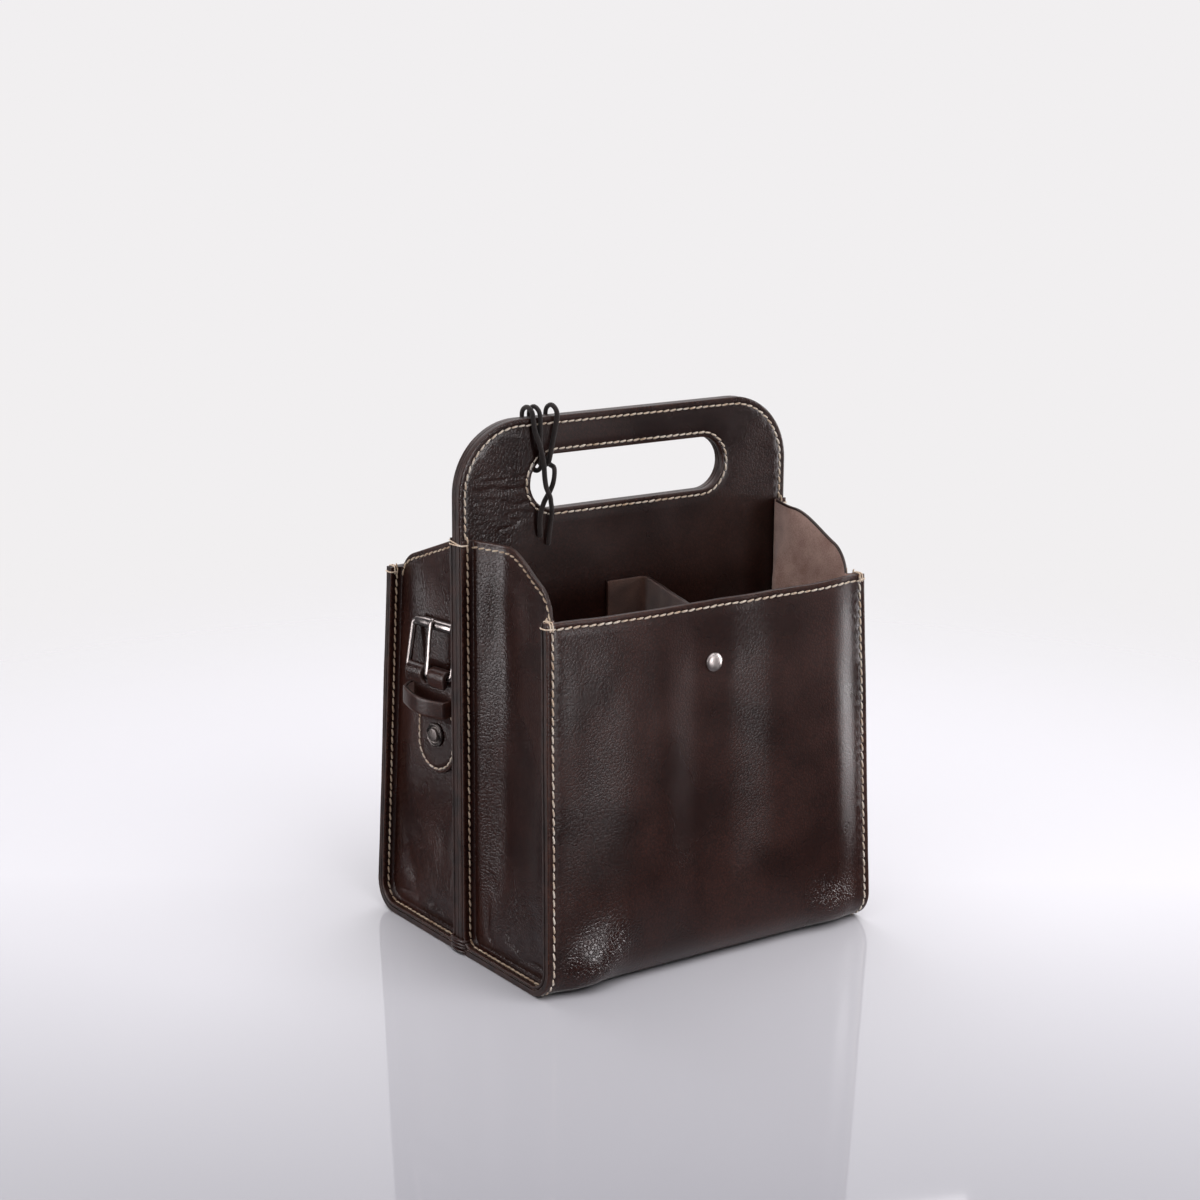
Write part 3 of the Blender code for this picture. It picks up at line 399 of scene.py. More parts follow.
# %% Leather, flesh side and edge
def flesh_leather(name, dark, light, nap):
    """Felted back of a hide."""
    made, tree, shader, place = new_material(name)
    felt = add(tree, "ShaderNodeTexNoise", {"Vector": place, "Scale": 1.3, "Detail": 6.0, "Roughness": 0.75})
    clouds = add(tree, "ShaderNodeTexNoise", {"Vector": place, "Scale": 1 / 14, "Detail": 3.0})
    both = add(tree, "ShaderNodeMath", {0: felt.outputs[0], 1: clouds.outputs[0]}, operation='ADD')
    share = add(tree, "ShaderNodeMapRange", {"Value": both.outputs[0], "From Min": 0.75, "From Max": 1.25})
    tint = add(tree, "ShaderNodeMix", {0: share.outputs[0], 6: linear(dark), 7: linear(light)},
               data_type='RGBA')
    tree.links.new(tint.outputs[2], shader.inputs["Base Color"])
    shader.inputs["Roughness"].default_value = 0.88
    shader.inputs["Sheen Weight"].default_value = nap
    shader.inputs["Sheen Roughness"].default_value = 0.5
    bump = add(tree, "ShaderNodeBump", {"Height": felt.outputs[0], "Strength": 0.5, "Distance": 0.0004})
    tree.links.new(bump.outputs[0], shader.inputs["Normal"])
    return made


def burnished_edge(name, dark, light):
    """Rubbed cut edge of leather, with its fibres."""
    made, tree, shader, place = new_material(name)
    fibres = add(tree, "ShaderNodeTexNoise",
                 {"Vector": place, "Scale": 2.2, "Detail": 4.0, "Roughness": 0.65})
    slow = add(tree, "ShaderNodeTexNoise", {"Vector": place, "Scale": 1 / 9, "Detail": 2.0})
    both = add(tree, "ShaderNodeMath", {0: fibres.outputs[0], 1: slow.outputs[0]}, operation='ADD')
    share = add(tree, "ShaderNodeMapRange", {"Value": both.outputs[0], "From Min": 0.8, "From Max": 1.25})
    tint = add(tree, "ShaderNodeMix", {0: share.outputs[0], 6: linear(dark), 7: linear(light)},
               data_type='RGBA')
    tree.links.new(tint.outputs[2], shader.inputs["Base Color"])
    shader.inputs["Roughness"].default_value = 0.45
    bump = add(tree, "ShaderNodeBump", {"Height": fibres.outputs[0], "Strength": 0.35, "Distance": 0.0003})
    tree.links.new(bump.outputs[0], shader.inputs["Normal"])
    return made


flesh_side = flesh_leather("flesh_side_of_leather", "A07B6D", "D6B5A8", 0.3)
cut_edge = burnished_edge("burnished_leather_edge", "1B0E0B", "3D241D")
suede = flesh_leather("brown_split_leather", "3A241C", "5E4033", 0.3)
LEATHER_LOOKS = (oiled_leather, flesh_side, cut_edge)
HANDLE_LOOKS = (shaded_handle_leather, flesh_side, cut_edge)

# %% [markdown]
# ## From a flat pattern to a bent piece
#
# A saddler starts from a flat pattern: an outline, punched holes and the lines where the thread
# will run. Here each pattern is filled with triangles by Blender's constrained Delaunay function,
# which keeps every line that it is given. Then each point is carried onto the bent surface. The
# rows beside an outline round the cut edge, and the rows beside a seam line sink into the groove
# that the thread lies in. The burnish runs a little way over the flesh side as well. Solidify and
# Bevel could thicken and round a sheet too, but they can't press a groove into the grain side alone.

# %% Flat patterns
EDGE_ROUND, EDGE_DROP = 0.7, 0.42
GROOVE_HALF, GROOVE_DEPTH = 0.75, 0.28
RUBBED_REACH, BURNISHED_RIM = 2.2, 0.12
GRAIN, FLESH, CUT = 0, 1, 2
ROW_SHARE = 0.87


def divided(line, step, closed):
    """A line with no stretch longer than step; its corners stay."""
    made = []
    ends = line[1:] + line[:1] if closed else line[1:]
    for a, b in zip(line, ends):
        parts = max(1, math.ceil((Vector(b) - Vector(a)).length / step))
        made += [Vector(a).lerp(Vector(b), k / parts) for k in range(parts)]
    if not closed:
        made.append(Vector(line[-1]))
    return made


def beside(line, distance, closed):
    """A line moved to its own left, corners mitred."""
    made = []
    last = len(line) - 1
    for k, point in enumerate(line):
        before = line[k - 1] if closed or k else point
        after = line[(k + 1) % len(line)] if closed or k < last else point
        ways = [(q - p).normalized() for p, q in ((before, point), (point, after)) if (q - p).length > 1e-6]
        lefts = [Vector((-way.y, way.x)) for way in ways]
        middle = sum(lefts, Vector((0, 0))).normalized()
        made.append(point + middle * distance / max(middle.dot(lefts[0]), 0.4))
    return made


def inside(points, loops):
    """Which of the points lie in the leather, by the even-odd rule."""
    x, y = points[:, 0], points[:, 1]
    odd = np.zeros(len(points), dtype=bool)
    for loop in loops:
        for a, b in zip(loop, loop[1:] + loop[:1]):
            if a.y == b.y:
                continue
            crossing = (y < a.y) != (y < b.y)
            odd ^= crossing & (x < a.x + (y - a.y) * (b.x - a.x) / (b.y - a.y))
    return odd


def finder(lines, step=0.2):
    """A search tree over points laid closely along lines, given as (line, closed) pairs."""
    spots = [spot for line, closed in lines for spot in divided(line, step, closed)]
    tree = kdtree.KDTree(max(len(spots), 1))
    for k, spot in enumerate(spots):
        tree.insert((spot.x, spot.y, 0.0), k)
    tree.balance()
    return tree


def cut_pattern(loops, seams, step, fine_step=None, fine_area=None):
    """Fill a flat pattern with triangles. Each loop keeps the leather on its left."""
    loops = [divided(loop, step * 0.8, True) for loop in loops]
    seams = [divided(seam, step * 0.8, False) for seam in seams]
    lines = []
    for loop in loops:
        lines += [(beside(loop, EDGE_ROUND * share, True) if share else loop, True) for share in (0, 0.35, 1)]
    for seam in seams:
        lines += [(beside(seam, shift * GROOVE_HALF, False), False) for shift in (-1, -0.5, 0, 0.5, 1)]
    points, edges = [], []
    for line, closed in lines:
        first = len(points)
        points += line
        edges += [(k, k + 1) for k in range(first, len(points) - 1)]
        if closed:
            edges.append((len(points) - 1, first))
    near = finder(lines, 0.5)
    low = Vector(min(p[n] for p in loops[0]) for n in (0, 1))
    high = Vector(max(p[n] for p in loops[0]) for n in (0, 1))
    grids = [(low, high, step)]
    if fine_area:
        grids.append((Vector(fine_area[0]), Vector(fine_area[1]), fine_step))
    for start, end, width in grids:
        spots = []
        for row in range(int((end.y - start.y) / (width * ROW_SHARE)) + 1):
            shift = width / 2 * (row % 2)
            for column in range(int((end.x - start.x) / width) + 1):
                spots.append((start.x + shift + column * width, start.y + row * width * ROW_SHARE))
        flags = inside(np.array(spots), loops)
        points += [Vector(spot) for spot, flag in zip(spots, flags)
                   if flag and near.find((*spot, 0.0))[2] > width * 0.55]
    verts, _, faces, *_ = geometry.delaunay_2d_cdt(points, edges, [], 0, 1e-5)
    middles = np.array([[sum(verts[k][n] for k in face) / 3 for n in (0, 1)] for face in faces])
    kept = [tuple(face) for face, flag in zip(faces, inside(middles, loops)) if flag]
    used = sorted({k for face in kept for k in face})
    index = {old: new for new, old in enumerate(used)}
    faces = [tuple(index[k] for k in face) for face in kept]
    return [verts[k] for k in used], faces, loops, seams


def border(faces):
    """Edges that only one face has, in that face's direction."""
    found = {}
    for face in faces:
        for a, b in zip(face, face[1:] + face[:1]):
            if (b, a) in found:
                del found[(b, a)]
            else:
                found[(a, b)] = True
    return list(found)


def closed_piece(name, top, under, faces, looks, rub, press=None):
    """Join two skins round their border: grain side, flesh side and a softly rounded cut edge."""
    count = len(top)
    edges = border(faces)
    outwards = {}
    for a, b in edges:
        way = (top[b] - top[a]).cross(top[a] - under[a]).normalized()
        for k in (a, b):
            outwards[k] = outwards.get(k, Vector()) + way
    points = list(top) + list(under)
    rows = {}
    for k, way in outwards.items():
        thick = (top[k] - under[k]).length
        rows[k] = []
        for share in (0.25, 0.5, 0.75):
            rounding = way.normalized() * thick * 0.3 * share * (1 - share)
            rows[k].append(len(points))
            points.append(top[k].lerp(under[k], share) + rounding)
    all_faces = list(faces) + [tuple(k + count for k in reversed(face)) for face in faces]
    kinds = [GRAIN] * len(faces)
    kinds += [CUT if min(rub[k] for k in face) > BURNISHED_RIM else FLESH for face in faces]
    for a, b in edges:
        here, there = [a, *rows[a], a + count], [b, *rows[b], b + count]
        for n in range(len(here) - 1):
            all_faces.append((there[n], here[n], here[n + 1], there[n + 1]))
            kinds.append(CUT)
    made = mesh_object(name, points, all_faces)
    for look in looks:
        made.data.materials.append(look)
    made.data.polygons.foreach_set("material_index", kinds)
    spare = len(points) - 2 * count
    for title, values in (("rub", rub), ("press", press or [0.0] * count)):
        layer = made.data.attributes.new(title, 'FLOAT', 'POINT')
        layer.data.foreach_set("value", list(values) * 2 + [1.0 if title == "rub" else 0.0] * spare)
    return made


def rounded_drop(distance, drop=EDGE_DROP):
    """How far the cut edge is rounded down at a distance from it."""
    t = 1 - min(distance / EDGE_ROUND, 1.0)
    return drop * (1 - math.sqrt(1 - t * t))


def bent_piece(name, pattern, bend, above, below, looks, relief=None, press=None, groove=GROOVE_DEPTH):
    """Carry a flat pattern onto its bent surface and give it its thickness."""
    points, faces, loops, seams = pattern
    edge_finder = finder([(loop, True) for loop in loops])
    seam_finder = finder([(seam, False) for seam in seams]) if seams else None
    top, under, rub, pressed = [], [], [], []
    drop_size = min(EDGE_DROP, (above + below) * 0.22)
    for point in points:
        base, out = bend(point.x, point.y)
        from_edge = edge_finder.find((point.x, point.y, 0.0))[2]
        drop = rounded_drop(from_edge, drop_size)
        sunk = 0.0
        if seam_finder:
            from_seam = seam_finder.find((point.x, point.y, 0.0))[2]
            sunk = groove * (1 - smooth_step(from_seam / GROOVE_HALF))
        raised = relief(point.x, point.y) if relief else 0.0
        top.append(base + out * (above - drop - sunk + raised))
        under.append(base - out * (below - drop))
        rub.append(max(0.0, 1 - from_edge / RUBBED_REACH) ** 2)
        pressed.append(press(point.x, point.y) if press else 0.0)
    made = closed_piece(name, top, under, faces, looks, rub, pressed)
    print(name, len(made.data.polygons), "faces")
    return made


# %% [markdown]
# ## The outer sheet
#
# One strip of 3 mm leather makes the front panel, the bottom and the rear panel. Bending the
# pattern round a U gives it its two folds. What makes it look like leather is where it isn't flat:
# the filled pockets press each panel out in two soft lobes, the rivet holds it in between them,
# and the corners above the folds bulge where the load pushes. One corner of each panel bulges
# more than the other. The hide is stretched there, so its pebble stands up and shines.

# %% Outer sheet
SIDE_SEAM, RIM_SEAM, PIN_HOLE = 3.3, 3.0, 1.7
SHEET_STEP, SEAM_STEP = 3.0, 1.5
LOBE_HEIGHT, UPPER_SLACK, LONG_WAVE, SHORT_WAVE = 3.3, 0.45, 0.55, 0.12
BELLY_SIDE, BELLY_DROP, BELLY_LONG, BELLY_SHORT = 73.0, 5.0, 21.0, 12.0
BELLY_TURN = (0.79, 0.61)
LEFT_BELLY, RIGHT_BELLY = 5.0, 2.4
FULL_PRESS, FAINT_PRESS = 1.3, 0.6
RIM_DIP, RIM_WAVE, KNIFE_WANDER = 0.9, 0.5, 0.35
PANEL_RUN = (RIM_HEIGHT - FOLD_RADIUS - FOLD_RADIUS * math.sin(PANEL_LEAN)) / math.cos(PANEL_LEAN)
FOLD_RUN = FOLD_RADIUS * (math.pi / 2 + PANEL_LEAN)
HALF_RUN = PANEL_RUN + FOLD_RUN + FOLD_CENTRE[0]
RIVET_RUN = (RIM_HEIGHT - RIVET_HEIGHT) / math.cos(PANEL_LEAN)


def sheet_line(run):
    """Place and outward direction on the U, run millimetres along it from the front rim."""
    side = -1
    if run > HALF_RUN:
        side, run = 1, 2 * HALF_RUN - run
    if run < PANEL_RUN:
        out = (math.cos(PANEL_LEAN), math.sin(PANEL_LEAN))
        spot = (panel_line(0.0, RIM_HEIGHT) + out[1] * run, RIM_HEIGHT - out[0] * run)
    elif run < PANEL_RUN + FOLD_RUN:
        angle = PANEL_LEAN - (run - PANEL_RUN) / FOLD_RADIUS
        out = (math.cos(angle), math.sin(angle))
        spot = (FOLD_CENTRE[0] + FOLD_RADIUS * out[0], FOLD_RADIUS + FOLD_RADIUS * out[1])
    else:
        out = (0.0, -1.0)
        spot = (FOLD_CENTRE[0] - (run - PANEL_RUN - FOLD_RUN), 0.0)
    return Vector((0.0, side * spot[0], spot[1])), Vector((0.0, side * out[0], out[1]))


def belly(x, run):
    """Share of the bulge above a fold's outer corner: an egg that leans inwards as it rises."""
    outward, rise = abs(x) - BELLY_SIDE, PANEL_RUN + BELLY_DROP - run
    along = (rise * BELLY_TURN[0] - outward * BELLY_TURN[1]) / BELLY_LONG
    across = (outward * BELLY_TURN[0] + rise * BELLY_TURN[1]) / BELLY_SHORT
    return math.exp(-along * along - across * across)


def stretched(x, run):
    """How far the hide is stretched over the two bulges of a panel, from 0 to 1."""
    full = (x < 0) == (run < HALF_RUN)
    return min(1.0, (FULL_PRESS if full else FAINT_PRESS) * belly(x, min(run, 2 * HALF_RUN - run)))


def swell(x, run):
    """How far the filled pockets press a panel out, in millimetres."""
    # The rear panel is the front one turned about the upright axis, with waves of its own.
    turn = 0.0
    if run > HALF_RUN:
        run, turn, x = 2 * HALF_RUN - run, 40.0, -x
    if run > PANEL_RUN + FOLD_RUN:
        return 0.0
    # Two lobes beside the middle line. The left one rises slowly from its seam, the right one fast.
    to_seam = half_width(max(RIM_HEIGHT - run, 0.0)) - abs(x)
    rise = smooth_step((to_seam - 9.0) / 40.0) if x < 0 else smooth_step((to_seam - 5.0) / 19.0)
    lobe = smooth_step((abs(x) - 6.0) / 30.0) * rise
    tall = 0.35 + 0.65 * math.sin(math.pi / 2 * min(run / 105.0, 1.0))
    foot = 1.0 - smooth_step((run - PANEL_RUN + 42.0) / (42.0 + FOLD_RUN * 0.5))
    # The rivet holds the panel down, and nothing moves at the seams or round the fold.
    held = smooth_step((math.hypot(x, run - RIVET_RUN) - 5.5) / 13.0)
    free = smooth_step((to_seam - 5.0) / 12.0) * (1.0 - smooth_step((run - PANEL_RUN) / FOLD_RUN))
    waves = LONG_WAVE * noise.noise(Vector((x / 42.0 + turn, run / 55.0, 1.7)))
    waves += SHORT_WAVE * noise.noise(Vector((x / 17.0 + turn, run / 21.0, 4.1)))
    bulge = (LEFT_BELLY if x < 0 else RIGHT_BELLY) * belly(x, run) * free
    return held * (LOBE_HEIGHT * lobe * tall * foot + free * (UPPER_SLACK + waves)) + bulge


def on_sheet(x, run):
    """Place and direction on the outer face, x across and run along it."""
    from_rim = min(run, 2 * HALF_RUN - run)
    dip = RIM_DIP * (1.0 - (x / 95.0) ** 2) + RIM_WAVE * noise.noise(Vector((x / 24.0, run / 300.0, 6.0)))
    dip *= (1.0 - smooth_step(from_rim / 24.0)) * smooth_step((93.0 - abs(x)) / 20.0)
    base, out = sheet_line(run + dip if run < HALF_RUN else run - dip)
    spot = base + Vector((x, 0, 0)) + out * swell(x, run)
    spot.z = max(spot.z, 0.0)
    return spot, out


def sheet_edge(run, inset=0.0):
    """Half width of the sheet at a run along it, with a knife's small wander."""
    wander = KNIFE_WANDER * noise.noise(Vector((run / 22.0, 0.5, 8.0)))
    return half_width(sheet_line(run)[0].z) - inset + wander


def circle(x, y, radius, count=20):
    """A punched hole, leather on its left."""
    turns = [-math.tau * k / count for k in range(count)]
    return [Vector((x + radius * math.cos(turn), y + radius * math.sin(turn))) for turn in turns]


fold_runs = [PANEL_RUN + FOLD_RUN * k / 8 for k in range(9)]
panel_runs = [PANEL_RUN * k / 16 for k in range(1, 16)]
front_runs = [0.0] + panel_runs + fold_runs + [HALF_RUN - NOTCH_HALF]
outer_right = [Vector((sheet_edge(run), run)) for run in front_runs]
outer_right += [Vector((NOTCH_X, HALF_RUN - NOTCH_HALF)), Vector((NOTCH_X, HALF_RUN + NOTCH_HALF))]
outer_right += [Vector((p.x, 2 * HALF_RUN - p.y)) for p in reversed(outer_right[:len(front_runs)])]
outer_loop = outer_right + [Vector((-p.x, p.y)) for p in reversed(outer_right)]

sheet_seams = []
for way in (-1, 1):
    runs = [2.2] + panel_runs + fold_runs + [HALF_RUN - NOTCH_HALF - 1.5]
    for mirrored in (False, True):
        seam = [Vector((way * sheet_edge(run, SIDE_SEAM), run)) for run in runs]
        sheet_seams.append([Vector((p.x, 2 * HALF_RUN - p.y)) if mirrored else p for p in seam])
rim_reach = sheet_edge(RIM_SEAM, SIDE_SEAM)
for run in (RIM_SEAM, 2 * HALF_RUN - RIM_SEAM):
    sheet_seams.append([Vector((-rim_reach, run)), Vector((rim_reach, run))])

sheet_loops = [outer_loop, circle(0, RIVET_RUN, PIN_HOLE), circle(0, 2 * HALF_RUN - RIVET_RUN, PIN_HOLE)]
outer_sheet = bent_piece("outer_sheet_leather", cut_pattern(sheet_loops, sheet_seams, SHEET_STEP), on_sheet,
                         0.0, OUTER_T, LEATHER_LOOKS, press=stretched)
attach(outer_sheet, "carrier")
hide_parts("outer_sheet")

# %% [markdown]
# ## The divider and its hand hole
#
# Two layers of the thickest leather stand back to back in the middle of the bag, glued flesh side
# to flesh side. Above the rim they are the handle, with rounded corners and an oval hand hole, sewn
# round both. Hands have pulled the leather left and right of the hole into fine level wrinkles. The
# left end, which wrinkles most, gets more points, and the wrinkles are pressed into the grain side.

# %% Divider layers
HOLE_SEAM = 2.4
HOLE_RADIUS = HOLE_HEIGHT / 2
HOLE_REACH = HOLE_LENGTH / 2 - HOLE_RADIUS
LEFT_WRINKLES, RIGHT_WRINKLES, HANDLE_WAVE, HANDLE_PRESS = 0.3, 0.15, 0.28, 0.1


def arc(centre, radius, start, end, steps):
    """Points of a circle, angles in degrees."""
    turn = [math.radians(start + (end - start) * k / steps) for k in range(steps + 1)]
    return [Vector((centre[0] + radius * math.cos(t), centre[1] + radius * math.sin(t))) for t in turn]


def divider_outline(inset):
    """Outer line of a divider layer from the right foot over the handle to the left foot."""
    centre = (FIN_HALF_WIDTH - HANDLE_CORNER, HANDLE_HEIGHT - HANDLE_CORNER)
    right_side = arc(centre, HANDLE_CORNER - inset, 0, 90, 18)
    return right_side + [Vector((-p.x, p.y)) for p in reversed(right_side)]


def hole_outline(inset):
    """Line round the hand hole, leather on its left, inset into the leather."""
    radius = HOLE_RADIUS + inset
    line = arc((HOLE_REACH, HOLE_MIDDLE), radius, 90, -90, 18)
    return line + arc((-HOLE_REACH, HOLE_MIDDLE), radius, 270, 90, 18)


foot_x = NOTCH_X + GAP
right_foot = [Vector((foot_x, 3.3)), Vector((foot_x, FOOT_CLEARANCE))]
right_foot.append(Vector((FIN_HALF_WIDTH, FOOT_CLEARANCE)))
left_foot = [Vector((-p.x, p.y)) for p in reversed(right_foot)]
divider_loop = right_foot + divider_outline(0.0) + left_foot
seam_x = FIN_HALF_WIDTH - SIDE_SEAM
handle_seam = [Vector((seam_x, GUSSET_HEIGHT - 2.0))] + divider_outline(SIDE_SEAM)
handle_seam.append(Vector((-seam_x, GUSSET_HEIGHT - 2.0)))
hole_seam = hole_outline(HOLE_SEAM)
hole_seam.append(hole_seam[0])


def wrinkle(x, z):
    """Fine level wrinkles beside the hand hole, in millimetres; more of them on the left."""
    beside_hole = between(abs(x), 52.0, 8.0, 93.0, 6.0)
    level = between(z, 203.0, 6.0, 244.0, 8.0)
    ripple = noise.noise(Vector((x * 0.028, 7.0, z * 0.17)))
    fine = noise.noise(Vector((x * 0.05, 2.0, z * 0.34)))
    depth = LEFT_WRINKLES if x < 0 else RIGHT_WRINKLES
    crease = 0.9 * math.exp(-(ripple / 0.06) ** 2) + 0.3 * math.exp(-(fine / 0.12) ** 2)
    return -depth * crease * beside_hole * level


def handle_waves(x, z):
    """Slow unevenness of a layer above the gussets, with the wrinkles in it."""
    above_rim = smooth_step((z - 150.0) / 40.0)
    to_edge = min(FIN_HALF_WIDTH - abs(x), HANDLE_HEIGHT - z)
    free = smooth_step((to_edge - 5.0) / 10.0) * above_rim
    return noise.noise(Vector((x / 30.0, 5.0, z / 24.0))) * HANDLE_WAVE * free + wrinkle(x, z)


def handled(x, z):
    """How far hands have raised the pebble: only at the two ends of the handle."""
    return smooth_step((abs(x) - 50) / 20) * smooth_step((z - 190) / 20) * HANDLE_PRESS


divider_holes = [hole_outline(0.0), circle(0, RIVET_HEIGHT, PIN_HOLE)]
DIVIDER_STEP, FINE_STEP, WRINKLED_AREA = 3.4, 1.0, ((-94.0, 202.0), (-50.0, 246.0))
divider_pattern = cut_pattern([divider_loop] + divider_holes, [handle_seam, hole_seam],
                              DIVIDER_STEP, FINE_STEP, WRINKLED_AREA)
for name, side in (("front", -1), ("rear", 1)):
    layer = bent_piece(
        "divider_" + name + "_leather", divider_pattern,
        lambda x, z, side=side: (Vector((x, side * DIVIDER_HALF, z)), Vector((0, side, 0))),
        0.0, DIVIDER_HALF, HANDLE_LOOKS, relief=handle_waves, press=handled)
    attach(layer, "carrier")
    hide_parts("divider_" + name + "_layer")

# %% [markdown]
# ## Gussets
#
# Each gusset is a wall of thin leather, wetted and moulded over a form. Its margins turn outwards,
# so that they can be sewn to the panel, the bottom and the divider from outside. No flat pattern
# gives this shape. It is a Coons patch instead: a surface that is stretched between four border
# lines, with the margins added as strips that first bend and then lie flat. The wall is drawn in
# along one soft upright crease, where the empty bag folds.

# %% Gusset surface
GUSSET_SEAM, GUSSET_GROOVE = 2.4, 0.2
BODY_COLUMNS, CORNER_SHARE, BEND_STEPS = 46, 0.75, 5
FLANGE_INSETS = (3.65, 3.3, 2.95, 2.6, 1.4, 0.7, 0.25, 0.0)
LEAN_DEGREES = math.degrees(PANEL_LEAN)
CORNER_ANGLE = (LEAN_DEGREES - 90.0) / 2
GUSSET_DEPTH = OUTER_T + GAP + GUSSET_T / 2
FIN_PLANE = DIVIDER_HALF + GAP + GUSSET_T / 2
FOOT_CENTRE = (FIN_PLANE + FOOT_RADIUS, GUSSET_DEPTH + FOOT_RADIUS)
DRAWN_IN, DRAWN_SHARE, CREASE_SHARPNESS = 4.6, 0.3, 7.0
WALL_WAVE, WALL_CREASE, CREASE_WIDTH = 0.8, 0.9, 0.07


def around(centre, radius, angle):
    """Point on a circle and the direction back to its centre."""
    way = Vector((math.cos(math.radians(angle)), math.sin(math.radians(angle))))
    return Vector(centre) + way * radius, -way


def panel_side(v):
    """Seam line along the panel, v from 0 at the rim to 1 at the middle of the fold."""
    end, inward = around(FOLD_CENTRE, FOLD_RADIUS - GUSSET_DEPTH, LEAN_DEGREES)
    if v < CORNER_SHARE:
        start = Vector((panel_line(GUSSET_DEPTH, RIM_HEIGHT), RIM_HEIGHT))
        return start.lerp(end, v / CORNER_SHARE), inward
    share = (v - CORNER_SHARE) / (1 - CORNER_SHARE)
    angle = LEAN_DEGREES + (CORNER_ANGLE - LEAN_DEGREES) * share
    return around(FOLD_CENTRE, FOLD_RADIUS - GUSSET_DEPTH, angle)


def divider_side(v):
    """Seam line along the divider, v from 0 at the top to 1 at the middle of the foot's corner."""
    if v < CORNER_SHARE:
        height = GUSSET_HEIGHT + (FOOT_CENTRE[1] - GUSSET_HEIGHT) * v / CORNER_SHARE
        return Vector((FIN_PLANE, height)), Vector((1, 0))
    return around(FOOT_CENTRE, FOOT_RADIUS, 180 + 45 * (v - CORNER_SHARE) / (1 - CORNER_SHARE))


def bottom_side(u):
    """Seam line along the bottom, u from 0 at the panel to 1 at the divider."""
    first, last = 2 / 13, 11 / 13
    if u < first:
        angle = CORNER_ANGLE + (-90 - CORNER_ANGLE) * u / first
        return around(FOLD_CENTRE, FOLD_RADIUS - GUSSET_DEPTH, angle)
    if u > last:
        return around(FOOT_CENTRE, FOOT_RADIUS, 270 - 45 * (u - last) / (1 - last))
    distance = FOLD_CENTRE[0] + (FOOT_CENTRE[0] - FOLD_CENTRE[0]) * (u - first) / (last - first)
    return Vector((distance, GUSSET_DEPTH)), Vector((0, 1))


def gusset_top(distance, near, root, half):
    """Height of the top edge: an S down from the divider in front, a slope in the rear, round at the rim."""
    drop = smooth_step((distance - DROP_START) / (DROP_END - DROP_START))
    height = GUSSET_HEIGHT + (SHOULDER_HEIGHT - GUSSET_HEIGHT) * drop
    if half > 0:
        height = GUSSET_HEIGHT + (REAR_SLOPE - GUSSET_HEIGHT) * (distance - near) / (root - near)
    part = min(max((distance - root + ROUND_RUN) / ROUND_RUN, 0.0), 1.0)
    return RIM_HEIGHT + (height - RIM_HEIGHT) * math.sqrt(1 - part * part)


def gusset_body(distance, height, near, far, tabbed):
    """Outward distance of the outer face: full, or pressed in to a flat seat behind a buckle tab."""
    across = min(max((distance - near) / (far - near), 0.0), 1.0)
    full = FIN_HALF_WIDTH + (half_width(height) - FIN_HALF_WIDTH) * across - SEAM_MARGIN
    falling, rising = across / DRAWN_SHARE, (1 - across) / (1 - DRAWN_SHARE)
    both = math.exp(-CREASE_SHARPNESS * falling) + math.exp(-CREASE_SHARPNESS * rising)
    drawn = -math.log(both) / CREASE_SHARPNESS
    full -= DRAWN_IN * drawn * smooth_step((height - 6.0) / 60.0)
    if not tabbed:
        return full
    seat = half_width(height) - SEAT_RECESS + SEAT_SLOPE * (distance - SEAT_BACK)
    if distance < SEAT_NEAR:
        share = smooth_step((SEAT_NEAR - distance) / (SEAT_NEAR - near))
        seat += (FIN_HALF_WIDTH - SEAM_MARGIN - seat) * share
    if distance > SEAT_FAR:
        share = smooth_step((distance - SEAT_FAR) / (far - SEAT_FAR))
        seat += (half_width(height) - SEAM_MARGIN - seat) * share
    clear = max(smooth_step((80.0 - height) / 34.0), smooth_step((height - 168.0) / 24.0))
    return seat + (full - seat) * clear


def gusset_waves(distance, height, turn, tabbed):
    """Slow waves of a moulded wall, and fine creases low on it; none at its borders or its seat."""
    border_fade = between(distance, 9.0, 8.0, 66.0, 8.0) * between(height, 12.0, 12.0, 196.0, 12.0)
    on_seat = between(distance, 8.0, 8.0, 62.0, 8.0) * between(height, 66.0, 14.0, 158.0, 14.0) * tabbed
    waves = WALL_WAVE * noise.noise(Vector((distance / 20.0, height / 48.0, turn)))
    low = between(height, 8.0, 6.0, 52.0, 24.0) * between(distance, 10.0, 8.0, 70.0, 8.0)
    spot = Vector((distance / 26.0 + height / 60.0, height / 17.0 - distance / 50.0, turn + 5.0))
    crease = WALL_CREASE * math.exp(-(noise.noise(spot) / CREASE_WIDTH) ** 2) * low
    return waves * border_fade * (1.0 - on_seat) - crease


